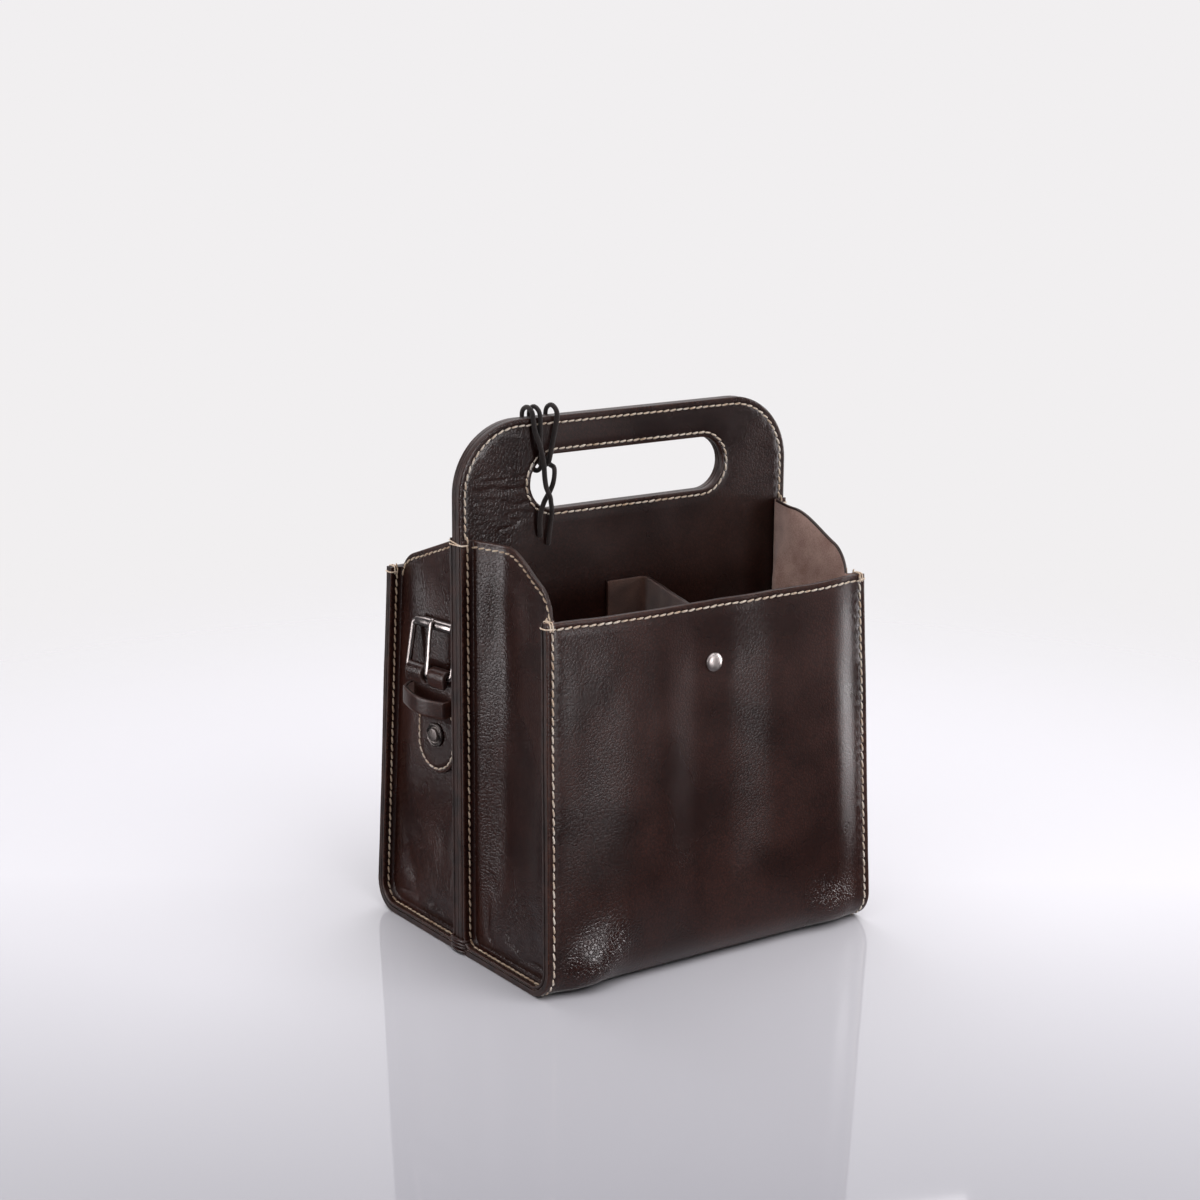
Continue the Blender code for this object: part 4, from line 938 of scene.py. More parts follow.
def gusset_skin(half, turn, tabbed):
    """Middle surface of a gusset in the rear right corner: points, faces, distances and seam lines."""
    left, right_side, low = [
        [point + inward * BEND_RADIUS for point, inward in map(side, steps)] for side, steps in (
            (panel_side, GUSSET_ROWS), (divider_side, GUSSET_ROWS), (bottom_side, GUSSET_COLUMNS))]
    root, near = left[0].x, right_side[0].x
    top_line = [Vector((root + (near - root) * k / 600, 0)) for k in range(601)]
    top_line = [Vector((p.x, gusset_top(p.x, near, root, half))) for p in top_line]
    top_edge = evenly(top_line, BODY_COLUMNS)
    points, faces, from_edge, from_seam = [], [], [], []
    wide = len(GUSSET_COLUMNS)
    for k, v in enumerate(GUSSET_ROWS):
        for i, u in enumerate(GUSSET_COLUMNS):
            sides = top_edge[i] * (1 - v) + low[i] * v + left[k] * (1 - u) + right_side[k] * u
            upper = top_edge[0] * (1 - u) + top_edge[-1] * u
            spot = sides - upper * (1 - v) - (low[0] * (1 - u) + low[-1] * u) * v
            foot = panel_line(GUSSET_DEPTH + BEND_RADIUS, max(spot.y, FOLD_RADIUS))
            outward = gusset_body(spot.x, spot.y, near, foot, tabbed) - GUSSET_T / 2
            outward += gusset_waves(spot.x, spot.y, turn, tabbed)
            points.append(Vector((outward, spot.x, spot.y)))
            down = (spot - top_edge[i]).length
            from_edge.append(down)
            from_seam.append(abs(down - GUSSET_SEAM))
            if k and i:
                last = len(points) - 1
                faces.append((last - wide - 1, last - wide, last, last - 1))
    last_row = (len(GUSSET_ROWS) - 1) * wide
    ring = [k * wide for k in range(len(GUSSET_ROWS))] + [last_row + i for i in range(1, wide - 1)]
    ring += [k * wide + wide - 1 for k in reversed(range(len(GUSSET_ROWS)))]
    loop = [panel_side(v) for v in GUSSET_ROWS] + [bottom_side(u) for u in GUSSET_COLUMNS[1:-1]]
    turn_at = len(loop)
    loop += [divider_side(v) for v in reversed(GUSSET_ROWS)]
    seam_lines = ([], [])
    before = None
    for k, (start, (point, inward)) in enumerate(zip(ring, loop)):
        on_panel = k < turn_at
        edge = half_width(max(point.y, 0.0)) if on_panel else FIN_HALF_WIDTH
        strip = [start]
        base = points[start]
        for step in range(1, BEND_STEPS + 1):
            angle = math.pi / 2 * step / BEND_STEPS
            rise = inward * BEND_RADIUS * (1 - math.sin(angle))
            strip.append(len(points))
            turned_out = base.x + BEND_RADIUS * (1 - math.cos(angle))
            points.append(Vector((turned_out, point.x + rise.x, point.y + rise.y)))
        for inset in FLANGE_INSETS:
            strip.append(len(points))
            points.append(Vector((edge - inset, point.x, point.y)))
        from_edge += [SEAM_MARGIN] * BEND_STEPS + list(FLANGE_INSETS)
        from_seam += [SEAM_MARGIN] * BEND_STEPS + [abs(inset - SIDE_SEAM) for inset in FLANGE_INSETS]
        out = Vector((0, inward.x, inward.y))
        seam_lines[0 if on_panel else 1].append((Vector((edge - SIDE_SEAM, point.x, point.y)), out))
        if before:
            faces += [(before[n], strip[n], strip[n + 1], before[n + 1]) for n in range(len(strip) - 1)]
        before = strip
    return points, faces, from_edge, from_seam, seam_lines


TOP_ROWS, LOWER_ROWS, SEAM_ROW = (0.0, 0.25, 0.7, 1.65, 2.0, 2.4, 2.8, 3.15, 5.0, 8.0), 62, 5
near_top = [distance / 190 for distance in TOP_ROWS]
below_top = 1 - near_top[-1]
GUSSET_ROWS = near_top + [near_top[-1] + below_top * k / LOWER_ROWS for k in range(1, LOWER_ROWS + 1)]
GUSSET_COLUMNS = [k / BODY_COLUMNS for k in range(BODY_COLUMNS + 1)]
print("gusset grid", len(GUSSET_ROWS), "rows by", len(GUSSET_COLUMNS), "columns")

# %% Gussets
seams = {"panel": [], "divider": [], "gusset": [], "left_tab": [], "right_tab": []}
MOULDED_PEBBLE = 0.13


def dressed_gusset(name, side, half, turn):
    """Thicken the gusset's surface, mirror it into its corner and keep its seam lines."""
    points, faces, from_edge, from_seam, seam_lines = gusset_skin(half, turn, side * half < 0)
    bm = bmesh.new()
    verts = [bm.verts.new(point) for point in points]
    for face in faces:
        bm.faces.new([verts[k] for k in face])
    bmesh.ops.recalc_face_normals(bm, faces=bm.faces)
    bm.verts.index_update()
    middle = verts[(len(GUSSET_ROWS) // 2) * len(GUSSET_COLUMNS) + BODY_COLUMNS // 2]
    sign = 1 if middle.normal.x > 0 else -1
    faces = [tuple(v.index for v in face.verts) for face in bm.faces]
    normals = [v.normal * sign for v in verts]
    bm.free()
    if sign < 0:
        faces = [tuple(reversed(face)) for face in faces]
    mirror = Vector((side, half, 1))
    top, under, rub = [], [], []
    for point, normal, edge, seam in zip(points, normals, from_edge, from_seam):
        drop = rounded_drop(edge, GUSSET_T * 0.22)
        sunk = GUSSET_GROOVE * (1 - smooth_step(seam / GROOVE_HALF))
        top.append((point + normal * (GUSSET_T / 2 - drop - sunk)) * mirror)
        under.append((point - normal * (GUSSET_T / 2 - drop)) * mirror)
        rub.append(max(0.0, 1 - edge / 2.0) ** 2)
    if side * half < 0:
        faces = [tuple(reversed(face)) for face in faces]
    made = closed_piece(name + "_leather", top, under, faces, LEATHER_LOOKS, rub, [MOULDED_PEBBLE] * len(top))
    face_level = GUSSET_T / 2 - GUSSET_GROOVE
    wide = len(GUSSET_COLUMNS)
    top_line = [(points[k], normals[k]) for k in range(SEAM_ROW * wide, SEAM_ROW * wide + wide)]
    for line in (*seam_lines, top_line):
        seams["gusset"].append([((p + out * face_level) * mirror, out * mirror) for p, out in line])
    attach(made, "carrier")
    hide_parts(name)
    print(made.name, len(made.data.polygons), "faces")
    return made


for depth_name, half in (("front", -1), ("rear", 1)):
    for side_name, side in (("left", -1), ("right", 1)):
        dressed_gusset("gusset_" + depth_name + "_" + side_name, side, half, 3.0 * half + 11.0 * side)

# %% [markdown]
# ## Separators
#
# A strap of soft split leather runs from the middle of each panel to the divider and parts the
# pocket in two. Its ends fold flat against panel and divider and are riveted. It is again a flat
# pattern, a plain strip, bent along a path seen from above.

# %% A bend along a path, and the separators
SEPARATOR_TOP, SEPARATOR_HEIGHT, SEPARATOR_FOLD = 178.5, 56.0, 9.5
FLANGE_END, FOLD_SOFT, STRAP_SWAY = 14.0, 3.4, 0.7


def path_bend(path, place):
    """A bend for patterns: a run along the path, then place(point, normal, across) puts it in space."""
    marks = [0.0]
    for a, b in zip(path, path[1:]):
        marks.append(marks[-1] + (b - a).length)
    ways = [(path[min(k + 1, len(path) - 1)] - path[max(k - 1, 0)]).normalized() for k in range(len(path))]

    def bend(across, run):
        leg = min(max(np.searchsorted(marks, run) - 1, 0), len(path) - 2)
        share = min(max((run - marks[leg]) / (marks[leg + 1] - marks[leg]), 0.0), 1.0)
        way = ways[leg].lerp(ways[leg + 1], share).normalized()
        return place(path[leg].lerp(path[leg + 1], share), Vector((-way.y, way.x)), across)

    return bend, marks[-1]


separator_run = panel_line(OUTER_T + GAP + SEPARATOR_T / 2, RIVET_HEIGHT)
separator_near = DIVIDER_HALF + GAP + SEPARATOR_T / 2
heading = math.degrees(math.atan2(separator_run - separator_near, 2 * SEPARATOR_FOLD))
reach = FOLD_SOFT / math.tan(math.radians(heading / 2))
fold = arc((-SEPARATOR_FOLD + reach, -separator_run + FOLD_SOFT), FOLD_SOFT, 270, 90 + heading, 8)
unfold = [Vector((-p.x, -(separator_run + separator_near) - p.y)) for p in reversed(fold)]
strap_path = [Vector((FLANGE_END, -separator_run))] + fold + unfold + [Vector((-FLANGE_END, -separator_near))]

for name, half in (("front", -1), ("rear", 1)):
    def strap_place(point, normal, height, half=half):
        """Stand the strap up along its path, leaning with the panel at that end."""
        share = (-point.y - separator_near) / (separator_run - separator_near)
        lean = math.tan(PANEL_LEAN) * (height - RIVET_HEIGHT) * smooth_step(share)
        sway = noise.noise(Vector((point.y / 16.0, height / 22.0, half))) * STRAP_SWAY
        sway *= 4 * share * (1 - share)
        spot = Vector((point.x + sway * normal.x, point.y + lean + sway * normal.y)) * -half
        return Vector((*spot, height)), Vector((-half * normal.x, -half * normal.y, 0))

    strap_bend, strap_length = path_bend(strap_path, strap_place)
    low, high, end = SEPARATOR_TOP - SEPARATOR_HEIGHT, SEPARATOR_TOP, strap_length
    strap_loop = [Vector(corner) for corner in ((low, 0), (high, 0), (high, end), (low, end))]
    pins = [circle(RIVET_HEIGHT, run, PIN_HOLE) for run in (FLANGE_END, strap_length - FLANGE_END)]
    strap_pattern = cut_pattern([strap_loop] + pins, [], 2.6)
    strap = bent_piece("separator_" + name + "_leather", strap_pattern, strap_bend,
                       SEPARATOR_T / 2, SEPARATOR_T / 2, (suede, suede, cut_edge))
    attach(strap, "carrier")
    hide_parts("separator_" + name)

# %% [markdown]
# ## Buckle tabs and keepers
#
# At each end a leather tab is sewn and riveted to the gusset. It runs up under a keeper, folds
# over the bar of a roller buckle and comes back down, with a slot at the fold for the prong. The
# keeper is a loop of thin leather that bulges out, to hold the end of a strap. Both are strips
# bent along a path, now seen from the side, in the tab's own directions: across, up and out.

# %% Tabs
TAB_WIDTH, TAB_DROP, LIFT_START, LIFT_END, BAR_RISE, TAB_END_RISE = 30.0, 26.8, 0.5, 8.5, 24.7, 19.3
SLOT_WIDTH, SLOT_RISE, WIRE_RADIUS, TAB_PIN_DROP, TAB_PRESS = 4.6, 20.4, 1.5, 7.3, 0.1
TAB_LOW = GAP + TAB_T / 2
TAB_HIGH = 3 * GAP + KEEPER_T + TAB_T / 2
TAB_FOLD = WIRE_RADIUS + 0.2 + TAB_T / 2
BAR_OUT = TAB_HIGH + TAB_FOLD
TAB_SEAM = 1.9


def tab_seat(side):
    """Coordinates of a tab's seat: X across the tab, Y up it, Z out of the gusset; -1 is left."""
    out = Vector((-1.0, -SEAT_SLOPE, SIDE_LEAN)).normalized()
    rise = (Vector((0, 0, 1)) - out * out.z).normalized()
    seat = Matrix((rise.cross(out), rise, out)).transposed().to_4x4()
    seat.translation = (SEAT_RECESS - half_width(SEAT_HEIGHT), SEAT_BACK, SEAT_HEIGHT)
    if side > 0:
        seat = Matrix.Rotation(math.pi, 4, 'Z') @ seat
    return seat


SEATS = {"left": tab_seat(-1), "right": tab_seat(1)}
tab_path = [Vector((-TAB_DROP, TAB_LOW))]
for k in range(13):
    rise = LIFT_START + (LIFT_END - LIFT_START) * k / 12
    tab_path.append(Vector((rise, TAB_LOW + (TAB_HIGH - TAB_LOW) * smooth_step(k / 12))))
tab_path += [Vector((BAR_RISE + TAB_FOLD * math.sin(t), BAR_OUT - TAB_FOLD * math.cos(t)))
             for t in [math.pi * k / 16 for k in range(17)]]
tab_path.append(Vector((TAB_END_RISE, BAR_OUT + TAB_FOLD - 0.8)))


def tab_places(seat):
    """The tab's bend in its seat, and its length."""
    def place(point, normal, across):
        out = seat.to_3x3() @ Vector((0, normal.x, normal.y))
        return seat.to_3x3() @ Vector((across, point.x, point.y)) + seat.translation, out
    return path_bend(tab_path, place)


tab_half = TAB_WIDTH / 2
tab_length = tab_places(SEATS["left"])[1]
climb = length_of(tab_path[:14]) + SLOT_RISE - LIFT_END
fall = tab_length - (SLOT_RISE - TAB_END_RISE)
round_end = arc((0.0, tab_half), tab_half, 180, 360, 30)
tab_loop = round_end + [Vector((tab_half, tab_length - 1.2)), Vector((tab_half - 1.2, tab_length)),
                        Vector((1.2 - tab_half, tab_length)), Vector((-tab_half, tab_length - 1.2))]
slot_half = SLOT_WIDTH / 2
slot_loop = arc((0.0, climb + slot_half), slot_half, 360, 180, 8)
slot_loop += arc((0.0, fall - slot_half), slot_half, 180, 0, 8)
tab_hole = circle(0.0, TAB_DROP - TAB_PIN_DROP, 2.1)
seam_top = TAB_DROP + 4.5
tab_seam = [Vector((TAB_SEAM - tab_half, seam_top))] + arc((0.0, tab_half), tab_half - TAB_SEAM, 180, 360, 30)
tab_seam.append(Vector((tab_half - TAB_SEAM, seam_top)))
tab_pattern = cut_pattern([tab_loop, slot_loop, tab_hole], [tab_seam], 1.7)

for name, seat in SEATS.items():
    tab_bend = tab_places(seat)[0]
    tab = bent_piece(name + "_tab_leather", tab_pattern, tab_bend, TAB_T / 2, TAB_T / 2,
                     (oiled_leather, oiled_leather, cut_edge), press=lambda x, run: TAB_PRESS)
    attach(tab, "carrier")
    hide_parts(name + "_tab")
    line = divided(tab_seam, 1.0, False)
    placed = [tab_bend(p.x, p.y) for p in line]
    seams[name + "_tab"].append([(spot + out * (TAB_T / 2 - GROOVE_DEPTH), out) for spot, out in placed])

# %% Keepers
KEEPER_RISE, KEEPER_HEIGHT, SIDE_OUT, CROWN_OUT = 14.6, 8.6, 10.5, 13.6
KEEPER_CORNER, KEEPER_DROOP, KEEPER_LEAN, KEEPER_ROUND = 2.6, 2.6, 0.3, 0.38
keeper_half = tab_half + 0.5 + KEEPER_T / 2
keeper_low = GAP + KEEPER_T / 2
keeper_line = arc((KEEPER_CORNER - keeper_half, keeper_low + KEEPER_CORNER), KEEPER_CORNER, 180, 270, 6)
keeper_line += arc((keeper_half - KEEPER_CORNER, keeper_low + KEEPER_CORNER), KEEPER_CORNER, 270, 360, 6)
keeper_line.append(Vector((keeper_half, SIDE_OUT - KEEPER_CORNER)))
for k in range(25):
    share = -1 + 2 * k / 24
    rise = (CROWN_OUT - SIDE_OUT) * math.cos(share * math.pi / 2)
    keeper_line.append(Vector((-share * (keeper_half - KEEPER_CORNER * 0.4), SIDE_OUT + rise)))
keeper_line.append(Vector((-keeper_half, SIDE_OUT - KEEPER_CORNER)))
keeper_ring = evenly(keeper_line + keeper_line[:1], 120)[:-1]
KEEPER_ACROSS = (0.0, 0.25, 0.7, 1.6, 2.6, 3.6, 4.3, 5.0, 6.0, 7.0, 7.9, 8.35, 8.6)

for name, seat in SEATS.items():
    top, under, rub, faces = [], [], [], []
    count = len(KEEPER_ACROSS)
    for k, spot in enumerate(keeper_ring):
        way = (keeper_ring[(k + 1) % len(keeper_ring)] - keeper_ring[k - 1]).normalized()
        normal = seat.to_3x3() @ Vector((way.y, 0, -way.x))
        for i, across in enumerate(KEEPER_ACROSS):
            edge = min(across, KEEPER_HEIGHT - across)
            drop = rounded_drop(edge, KEEPER_ROUND)
            droop = KEEPER_DROOP * (spot.x + keeper_half) / (2 * keeper_half)
            droop += KEEPER_LEAN * (spot.y - keeper_low)
            middle = seat @ Vector((spot.x, KEEPER_RISE - KEEPER_HEIGHT / 2 + across - droop, spot.y))
            top.append(middle + normal * (KEEPER_T / 2 - drop))
            under.append(middle - normal * (KEEPER_T / 2 - drop))
            rub.append(max(0.0, 1 - edge / 2.0) ** 2)
            if i:
                here, there = k * count + i, ((k + 1) % len(keeper_ring)) * count + i
                faces.append((here - 1, there - 1, there, here))
    keeper = closed_piece(name + "_keeper_leather", top, under, faces, LEATHER_LOOKS, rub)
    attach(keeper, "carrier")
    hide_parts(name + "_keeper")
    print(keeper.name, len(keeper.data.polygons), "faces")

# %% [markdown]
# ## Thread
#
# The seams are saddle stitched: two needles, one waxed linen thread, and holes pricked at a
# slant, so each stitch leans a little. There are over a thousand stitches, so Geometry Nodes lay
# them. A seam is a line of points that carry the leather's outward direction. The tree turns it
# to a curve, marks it off by the pitch and puts one stitch at each mark, turned along the seam
# and out of the leather. A dark lens, the painted shade of a needle hole, goes between two
# stitches. Both have few faces.

# %% Thread materials
def waxed_thread(name, dark, light):
    """Waxed linen thread with some grime; its twist is drawn by the stitch's own UV map, and its colour is
    painted darker in the grooves between the plies, as painted shade.
    """
    made, tree, shader, place = new_material(name)
    uv = add(tree, "ShaderNodeUVMap", uv_map="UVMap")
    wound = add(tree, "ShaderNodeMapping", {"Vector": uv.outputs[0], "Rotation": (0, 0, 0.62)})
    plies = add(tree, "ShaderNodeTexWave", {"Vector": wound.outputs[0], "Scale": 1.6, "Distortion": 0.3})
    grime = add(tree, "ShaderNodeTexNoise",
                {"Vector": place, "Scale": 1 / 7, "Detail": 4.0, "Roughness": 0.7})
    dirt = add(tree, "ShaderNodeMapRange", {"Value": grime.outputs[0], "From Min": 0.35, "From Max": 0.62})
    # Painted shade: the colour is darker in the grooves between the plies; the grime is dirt.
    ply_groove_shade = add(tree, "ShaderNodeMapRange", {"Value": plies.outputs["Fac"], "To Min": 0.55, "To Max": 1.0})
    share = add(tree, "ShaderNodeMath", {0: dirt.outputs[0], 1: ply_groove_shade.outputs[0]}, operation='MULTIPLY')
    tint = add(tree, "ShaderNodeMix", {0: share.outputs[0], 6: linear(dark), 7: linear(light)},
               data_type='RGBA')
    tree.links.new(tint.outputs[2], shader.inputs["Base Color"])
    shader.inputs["Roughness"].default_value = 0.55
    shader.inputs["Sheen Weight"].default_value = 0.2
    bump = add(tree, "ShaderNodeBump", {"Height": plies.outputs["Fac"], "Strength": 0.6, "Distance": 0.0002})
    tree.links.new(bump.outputs[0], shader.inputs["Normal"])
    return made


def painted_hole_shade(name):
    """Painted shade of a needle hole: a dark colour with a little of the leather's colour."""
    made, tree, shader, place = new_material(name)
    speck = add(tree, "ShaderNodeTexNoise", {"Vector": place, "Scale": 1.5})
    tint = add(tree, "ShaderNodeMix", {0: speck.outputs[0], 6: linear("080505"), 7: linear("1A100D")},
               data_type='RGBA')
    tree.links.new(tint.outputs[2], shader.inputs["Base Color"])
    shader.inputs["Roughness"].default_value = 0.9
    return made


linen = waxed_thread("waxed_linen_thread", "CDAE8E", "FFF8EA")
brown_linen = waxed_thread("brown_linen_thread", "A8886A", "F2DFC4")
needle_hole_shade = painted_hole_shade("needle_hole_shade_in_leather")


# %% Stitch and needle hole
def stitch_form():
    """One stitch, one unit long and thick, bowed up in the middle and thin where it dives."""
    stations = (-0.5, -0.4, -0.2, 0.0, 0.2, 0.4, 0.5)
    sides, twist = 7, 3.4
    points = []
    for x in stations:
        thick = 0.5 * math.sqrt(max(1 - (abs(x) * 1.88) ** 4, 0.06))
        level = 0.3 - 3.2 * abs(x) ** 3
        for n in range(sides):
            angle = math.tau * n / sides
            points.append(Vector((x, thick * math.cos(angle), level + thick * math.sin(angle))) / MM)
    form = mesh_object("stitch_form", points, ring_faces(len(stations), sides))
    layer = form.data.uv_layers.new(name="UVMap")
    for polygon in form.data.polygons:
        for loop in polygon.loop_indices:
            vertex = form.data.loops[loop].vertex_index
            layer.data[loop].uv = (stations[vertex // sides] * twist, (vertex % sides) / sides)
    return form


# The lens carries the painted shade of a needle hole.
def hole_form():
    """A flat lens one unit across."""
    sides = 8
    turns = [math.tau * k / sides for k in range(sides)]
    points = [(0, 0, 0.1)] + [(0.5 * math.cos(turn), 0.5 * math.sin(turn), 0.0) for turn in turns]
    points.append((0, 0, -0.4))
    pairs = [(1 + k, 1 + (k + 1) % sides) for k in range(sides)]
    faces = [(0, a, b) for a, b in pairs] + [(sides + 1, b, a) for a, b in pairs]
    return mesh_object("hole_form", [Vector(p) / MM for p in points], faces)


forms = {"Stitch": stitch_form(), "Needle hole": hole_form()}
print("one stitch has", len(forms["Stitch"].data.polygons), "faces")


# %% Stitching tree
def stitching_tree():
    """Geometry Nodes that sew along a line of points with an attribute called lift."""
    tree = bpy.data.node_groups.new("saddle_stitching", 'GeometryNodeTree')
    for title, kind in (("Seam", "Geometry"), ("Stitch", "Object"), ("Needle hole", "Object"),
                        ("Pitch", "Float"), ("Stitch length", "Float"), ("Thread thickness", "Float"),
                        ("Slant", "Float"), ("Unevenness", "Float"), ("Seed", "Int"),
                        ("Thread", "Material"), ("Hole", "Material")):
        tree.interface.new_socket(title, in_out='INPUT', socket_type="NodeSocket" + kind)
    tree.interface.new_socket("Thread", in_out='OUTPUT', socket_type='NodeSocketGeometry')
    given = add(tree, "NodeGroupInput").outputs
    curve = add(tree, "GeometryNodeMeshToCurve", {"Mesh": given["Seam"]})
    marks = add(tree, "GeometryNodeResampleCurve", {"Curve": curve.outputs[0], "Length": given["Pitch"]},
                mode='LENGTH')
    lift = add(tree, "GeometryNodeInputNamedAttribute", {"Name": "lift"}, data_type='FLOAT_VECTOR')
    along = add(tree, "GeometryNodeInputTangent")
    facing = add(tree, "FunctionNodeAlignRotationToVector", {"Vector": along.outputs[0]}, axis='X')
    upright = add(tree, "FunctionNodeAlignRotationToVector",
                  {"Rotation": facing.outputs[0], "Vector": lift.outputs[0]}, axis='Z', pivot_axis='X')
    minus = add(tree, "ShaderNodeMath", {0: given["Unevenness"], 1: -1.0}, operation='MULTIPLY')
    wander = add(tree, "FunctionNodeRandomValue",
                 {2: minus.outputs[0], 3: given["Unevenness"], "Seed": given["Seed"]}, data_type='FLOAT')
    lean = add(tree, "ShaderNodeMath", {0: given["Slant"], 1: wander.outputs[1]}, operation='ADD')
    turn = add(tree, "ShaderNodeCombineXYZ", {"Z": lean.outputs[0]})
    spun = add(tree, "FunctionNodeRotateRotation",
               {"Rotation": upright.outputs[0], "Rotate By": turn.outputs[0]}, rotation_space='LOCAL')
    size = add(tree, "ShaderNodeCombineXYZ", {"X": given["Stitch length"], "Y": given["Thread thickness"],
                                              "Z": given["Thread thickness"]})
    stretch = add(tree, "ShaderNodeMath", {0: wander.outputs[1], 1: 0.6, 2: 1.0}, operation='MULTIPLY_ADD')
    grown = add(tree, "ShaderNodeVectorMath", {0: size.outputs[0], "Scale": stretch.outputs[0]},
                operation='SCALE')
    parts = []
    for title, spin, scale, look in (("Stitch", spun.outputs[0], grown.outputs[0], "Thread"),
                                     ("Needle hole", upright.outputs[0], None, "Hole")):
        source = add(tree, "GeometryNodeObjectInfo", {"Object": given[title], "As Instance": True})
        if scale is None:
            half = add(tree, "ShaderNodeMath", {0: given["Pitch"], 1: 0.5}, operation='MULTIPLY')
            step = add(tree, "ShaderNodeVectorMath", {0: along.outputs[0], "Scale": half.outputs[0]},
                       operation='SCALE')
            marks = add(tree, "GeometryNodeSetPosition",
                        {"Geometry": marks.outputs[0], "Offset": step.outputs[0]})
            scale = add(tree, "ShaderNodeCombineXYZ",
                        {axis: given["Thread thickness"] for axis in "XYZ"}).outputs[0]
        laid = add(tree, "GeometryNodeInstanceOnPoints",
                   {"Points": marks.outputs[0], "Instance": source.outputs[-1],
                    "Rotation": spin, "Scale": scale})
        real = add(tree, "GeometryNodeRealizeInstances", {"Geometry": laid.outputs[0]})
        painted = add(tree, "GeometryNodeSetMaterial", {"Geometry": real.outputs[0], "Material": given[look]})
        parts.append(painted.outputs[0])
    joined = add(tree, "GeometryNodeJoinGeometry")
    for part in parts:
        tree.links.new(part, joined.inputs[0])
    add(tree, "NodeGroupOutput", {0: joined.outputs[0]})
    return tree


stitching = stitching_tree()
tree_inputs = [item for item in stitching.interface.items_tree if item.in_out == 'INPUT']
print("stitching tree inputs:", [item.name for item in tree_inputs])

# %% [markdown]
# ## Sewing
#
# Every seam becomes a line in one object, the modifier sews it, and the result is turned into a
# plain mesh. The panels have the longest pitch, 4.3 mm, and the tabs the shortest, 3.6 mm. The
# gussets' thread is browner.

# %% Sew the seams
STITCH_SHARE, STITCH_UNEVENNESS, STITCH_SLANT = 0.93, 0.07, 0.16


def sew(name, lines, pitch, thread, seed, look=linen):
    """Sew lines of (place, outward direction) in millimetres into one piece of thread."""
    points, edges, lifts = [], [], []
    for line in lines:
        first = len(points)
        points += [tuple(spot * MM) for spot, _ in line]
        lifts += [value for _, out in line for value in out.normalized()]
        edges += [(k, k + 1) for k in range(first, len(points) - 1)]
    mesh = bpy.data.meshes.new(name + "_seam")
    mesh.from_pydata(points, edges, [])
    mesh.attributes.new("lift", 'FLOAT_VECTOR', 'POINT').data.foreach_set("vector", lifts)
    seam = bpy.data.objects.new(name + "_seam", mesh)
    bpy.context.scene.collection.objects.link(seam)
    worker = seam.modifiers.new("sew", 'NODES')
    worker.node_group = stitching
    values = {**forms, "Pitch": pitch * MM, "Stitch length": pitch * STITCH_SHARE * MM,
              "Thread thickness": thread * MM, "Slant": STITCH_SLANT, "Unevenness": STITCH_UNEVENNESS,
              "Seed": seed, "Thread": look, "Hole": needle_hole_shade}
    for item in tree_inputs:
        if item.name in values:
            worker[item.identifier] = values[item.name]
    graph = bpy.context.evaluated_depsgraph_get()
    plain = bpy.data.meshes.new_from_object(seam.evaluated_get(graph))
    plain.name = name
    plain.shade_smooth()
    seam.modifiers.remove(worker)
    bpy.data.objects.remove(seam)
    made = bpy.data.objects.new(name, plain)
    bpy.context.scene.collection.objects.link(made)
    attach(made, "carrier")
    print(name, len(plain.polygons), "faces over", len(lines), "seams")
    return made


for line in sheet_seams:
    placed = [on_sheet(p.x, p.y) for p in divided(line, SEAM_STEP, False)]
    seams["panel"].append([(spot - out * GROOVE_DEPTH, out) for spot, out in placed])
seam_foot = GUSSET_HEIGHT + 1.5
handle_thread = [Vector((seam_x, seam_foot))] + handle_seam[1:-1] + [Vector((-seam_x, seam_foot))]
for side in (-1, 1):
    level, out = side * (DIVIDER_HALF - GROOVE_DEPTH), Vector((0, side, 0))
    for line in (handle_thread, hole_seam):
        placed = [Vector((p.x, level, p.y)) for p in divided(line, SEAM_STEP, False)]
        seams["divider"].append([(spot, out) for spot in placed])
sew("panel_stitches", seams["panel"], 4.3, 0.98, 11)
sew("divider_stitches", seams["divider"], 4.0, 1.0, 12)
sew("gusset_stitches", seams["gusset"], 4.1, 0.95, 13, brown_linen)
for k, name in enumerate(("left", "right")):
    sew(name + "_tab_stitches", seams[name + "_tab"], 3.6, 0.95, 14 + k)
for form in forms.values():
    bpy.data.objects.remove(form)

# %% [markdown]
# ## Locked ends
#
# A seam that ends at an edge is locked there: the thread goes over the edge a few times. It does so
# at the four corners of the rim and where the gussets end on the divider. At the two feet of the
# divider a thin leather thong is wound round all the layers instead. Each turn is a short tube.

# %% Locks and thongs
def wound(name, lines, radius, look):
    """Short tubes along lines of points in millimetres, joined into one piece."""
    bm = bmesh.new()
    for line in lines:
        path = through(line, 5)
        part = tube(name + "_turn", path, lambda k, angle: radius, 8)
        bm.from_mesh(part.data)
        bpy.data.objects.remove(part)
    mesh = bpy.data.meshes.new(name)
    bm.to_mesh(mesh)
    bm.free()
    mesh.shade_smooth()
    mesh.materials.append(look)
    made = bpy.data.objects.new(name, mesh)
    bpy.context.scene.collection.objects.link(made)
    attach(made, "carrier")
    print(name, len(mesh.polygons), "faces in", len(lines), "turns")


